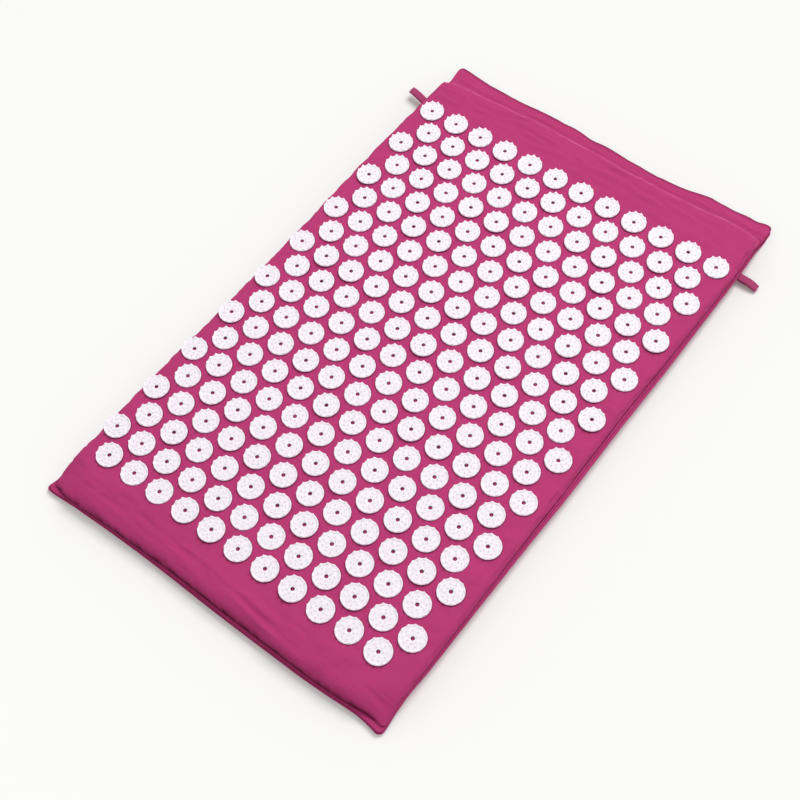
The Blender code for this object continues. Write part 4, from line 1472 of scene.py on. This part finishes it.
def tape_sheet(name, low, high, material):
    """A flat strip of tape as a grid from one corner to the other, with its long edges a little
    lower."""
    x = np.linspace(low.x, high.x, int((high.x - low.x) / TAPE_CELL) + 1)
    grid_x, grid_y = np.meshgrid(x, np.linspace(low.y, high.y, TAPE_ROWS))
    edge = np.minimum(grid_y - low.y, high.y - grid_y)
    z = high.z - 0.15 * MM * np.exp(-edge / (0.6 * MM))
    points = stacked(grid_x, grid_y, z).reshape(-1, 3)
    quads = grid_quads(*grid_x.shape)
    piece = mesh_object(name, sewn_outline(points), quads, points[:, :2], material)
    solidify(piece, high.z - low.z)
    return piece


class MAT_OT_closure(bpy.types.Operator):
    """Builds the hook tape under the flap and the loop tape on the lower hem"""

    bl_idname = "mat.closure"
    bl_label = "Closure Tapes"

    def execute(self, context):
        trim = context.scene.mat_trim
        hook_material = tape_material("hook_tape", trim.hook_colour, 700.0, 0.0, 900.0)
        hook = tape_sheet("hook_strip", HOOK_LOW, HOOK_HIGH, hook_material)
        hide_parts("hook_tape")
        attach(hook, "closure")
        pile_material = tape_material("loop_tape", trim.pile_colour, 900.0, 0.4, 1400.0)
        pile = tape_sheet("pile_strip", PILE_LOW, PILE_HIGH, pile_material)
        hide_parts("loop_tape")
        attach(pile, "mat")
        return {"FINISHED"}


LOOP_ROOT_Z = 8.2 * MM
LOOP_EYE = 0.9 * MM  # how far the two layers of a side loop open
# Side, name, the root's X, the tip's X and Z, the slant along the mat and the height of the wave
LOOP_FORMS = (
    (1, "right", 190.5 * MM, 217.2 * MM, 2.8 * MM, -0.4 * MM, 1.1 * MM),
    (-1, "left", 193.0 * MM, 222.2 * MM, 9.0 * MM, 6.0 * MM, 0.4 * MM),
)


class MAT_OT_side_loops(bpy.types.Operator):
    """Builds the folded tape loops sewn into the long seams"""

    bl_idname = "mat.side_loops"
    bl_label = "Side Loops"

    def execute(self, context):
        trim = context.scene.mat_trim
        material = tape_material("loop_webbing", trim.webbing_colour, 1100.0, 0.1, 1200.0)
        for side, word, root_x, tip_x, tip_z, slant, wave in LOOP_FORMS:
            low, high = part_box(f"side_loop_{word}")
            path, flat = self.folded_path(side, root_x, tip_x, tip_z, wave, trim)
            width = trim.loop_width
            across = np.linspace(-width / 2, width / 2, 7)
            middle = (low.y + high.y) / 2
            reach = np.abs(path[:, :1]) - root_x
            lean = slant * reach / reach.max()
            points = stacked(*np.broadcast_arrays(
                path[:, :1], middle + lean + across,
                path[:, 1:] - 0.12 * MM * (2 * across / width) ** 4,
            ))
            uv = stacked(*np.broadcast_arrays(flat[:, None], across)).reshape(-1, 2)
            quads = grid_quads(len(path), len(across))[:, ::side]
            piece = mesh_object(f"loop_{word}", points.reshape(-1, 3), quads, uv, material)
            solidify(piece, trim.tape, offset=0.0)
            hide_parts(f"side_loop_{word}")
            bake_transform(piece)
        return {"FINISHED"}

    def folded_path(self, side, root_x, tip_x, tip_z, wave, trim):
        """The tape's middle line in X and Z: out from the seam along the lower layer, round the
        fold at the tip and back along the upper layer. Both layers leave the seam together, open
        into a narrow eye and wave a little on their way to the tip. It returns the line and the
        length of tape up to each of its points."""
        half = trim.tape / 2
        share = np.linspace(0, 1, 18)
        eye = LOOP_EYE * np.sin(math.pi * share) ** 0.8
        line_x = blend(root_x, tip_x - 1.6 * trim.tape, share)
        line_z = blend(LOOP_ROOT_Z, tip_z, ease(share * 0.8 + 0.1))
        line_z = line_z - wave * np.sin(2 * math.pi * share)
        lower = stacked(line_x, line_z - half - eye * 0.4)
        upper = stacked(line_x, line_z + half + eye)[::-1]
        centre = (lower[-1] + upper[0]) / 2
        radius = (upper[0, 1] - lower[-1, 1]) / 2
        angle = np.linspace(-math.pi / 2, math.pi / 2, 9)[1:-1]
        fold = centre + radius * stacked(1.3 * np.cos(angle), np.sin(angle))
        path = np.concatenate([lower, fold, upper])
        path[:, 1] = np.maximum(path[:, 1], half + 0.1 * MM)
        step = np.linalg.norm(np.diff(path, axis=0), axis=1)
        path[:, 0] *= side
        return path, np.concatenate([[0.0], np.cumsum(step)])


# Stage

FLOOR_REACH = 4.0
FLOOR_DEPTH = 0.05 * MM  # how far the floor lies below the cover's lowest cloth
FLOOR_COLOUR = (0.80, 0.80, 0.792, 1.0)
GLOW_COLOUR = (1.0, 1.0, 0.99, 1.0)


class MAT_OT_stage(bpy.types.Operator):
    """Makes the floor, the even light, the soft lamp and the camera"""

    bl_idname = "mat.stage"
    bl_label = "Stage"

    def execute(self, context):
        stage = context.scene.mat_stage
        scene = context.scene
        scene.view_settings.view_transform = "Standard"
        corners = np.array([(-1, -1), (1, -1), (1, 1), (-1, 1)]) * FLOOR_REACH
        floor = mesh_object(
            "floor", level(corners.T, -FLOOR_DEPTH), [[0, 1, 2, 3]],
            material=self.floor_material(stage),
        )
        self.light_world(scene, stage)
        lamp = bpy.data.lights.new("soft_lamp", "AREA")
        lamp.shape = "SQUARE"
        lamp.size = stage.lamp_size
        lamp.energy = stage.lamp
        lamp_place = Vector(stage.lamp_place)
        self.placed(scene, lamp, lamp_place, -lamp_place).visible_camera = False
        camera = bpy.data.cameras.new("camera")
        camera.lens = stage.lens
        scene.camera = self.placed(
            scene, camera, stage.camera_place, Vector(stage.view_direction), stage.roll
        )
        return {"FINISHED"}

    def placed(self, scene, data, place, aim, roll=0.0):
        """An object for a lamp or a camera, which looks along aim and is rolled about it."""
        obj = bpy.data.objects.new(data.name, data)
        obj.location = place
        obj.rotation_mode = "QUATERNION"
        obj.rotation_quaternion = aim.to_track_quat("-Z", "Y") @ Quaternion((0, 0, 1), roll)
        scene.collection.objects.link(obj)
        return obj

    def seen_straight(self, tree):
        """1 for a ray from the camera, a mirror or through glass, otherwise 0."""
        rays = add_node(tree, "LightPath", {}).outputs
        either = math_node(tree, "MAXIMUM", rays["Is Camera Ray"], rays["Is Glossy Ray"])
        return math_node(tree, "MAXIMUM", either, rays["Is Transmission Ray"])

    def floor_material(self, stage):
        """Matt pale paint that glows a little to the camera, more the farther it lies from the
        lamp, so that it looks evenly white and keeps its shadows."""
        material, tree, shader, places = new_material("floor", 1.0, specular=0.0)
        foot = (stage.lamp_place[0], stage.lamp_place[1], 0.0)
        away = add_node(tree, "VectorMath", {0: places["Object"], 1: foot}, operation="DISTANCE")
        past_start = minus(tree, away.outputs["Value"], stage.glow_start)
        glow = times(tree, math_node(tree, "MAXIMUM", past_start, 0.0), stage.floor_glow)
        feed(tree, shader, {
            "Base Color": FLOOR_COLOUR, "Emission Color": GLOW_COLOUR,
            "Emission Strength": times(tree, self.seen_straight(tree), glow),
        })
        return material

    def light_world(self, scene, stage):
        """An even sky that the camera sees as white."""
        world = bpy.data.worlds.new("sky")
        world.use_nodes = True
        tree = world.node_tree
        extra = times(tree, self.seen_straight(tree), 1.0 - stage.sky)
        feed(tree, tree.nodes["Background"], {
            "Color": (1.0, 1.0, 1.0, 1.0), "Strength": plus(tree, extra, stage.sky),
        })
        scene.world = world


# The add-on

class MAT_PT_panel(bpy.types.Panel):
    """Lists the mat's pieces and their settings"""

    bl_idname = "MAT_PT_panel"
    bl_label = "Acupressure Mat"
    bl_space_type = "VIEW_3D"
    bl_region_type = "UI"
    bl_category = "Mat"

    def draw(self, context):
        layout = self.layout
        for operator in PIECE_OPERATORS:
            layout.operator(operator.bl_idname)
        for name in SETTINGS:
            settings = getattr(context.scene, name)
            box = layout.box()
            for prop in settings.bl_rna.properties:
                if prop.identifier not in ("name", "rna_type"):
                    box.prop(settings, prop.identifier)


PIECE_OPERATORS = (
    MAT_OT_stage, MAT_OT_bottom_cover, MAT_OT_foam, MAT_OT_top_cover, MAT_OT_discs, MAT_OT_closure,
    MAT_OT_side_loops,
)
SETTINGS = {
    "mat_cover": CoverSettings,
    "mat_discs": DiscSettings,
    "mat_trim": TrimSettings,
    "mat_stage": StageSettings,
}


def register():
    for settings in SETTINGS.values():
        bpy.utils.register_class(settings)
    for name, settings in SETTINGS.items():
        setattr(bpy.types.Scene, name, PointerProperty(type=settings))
    for operator in PIECE_OPERATORS:
        bpy.utils.register_class(operator)
    bpy.utils.register_class(MAT_PT_panel)


def unregister():
    bpy.utils.unregister_class(MAT_PT_panel)
    for operator in reversed(PIECE_OPERATORS):
        bpy.utils.unregister_class(operator)
    for name, settings in SETTINGS.items():
        delattr(bpy.types.Scene, name)
        bpy.utils.unregister_class(settings)


def main():
    register()
    bpy.ops.mat.stage()
    bpy.ops.mat.bottom_cover()
    bpy.ops.mat.foam()
    bpy.ops.mat.top_cover()
    bpy.ops.mat.discs()
    bpy.ops.mat.closure()
    bpy.ops.mat.side_loops()


if __name__ == "__main__":
    main()
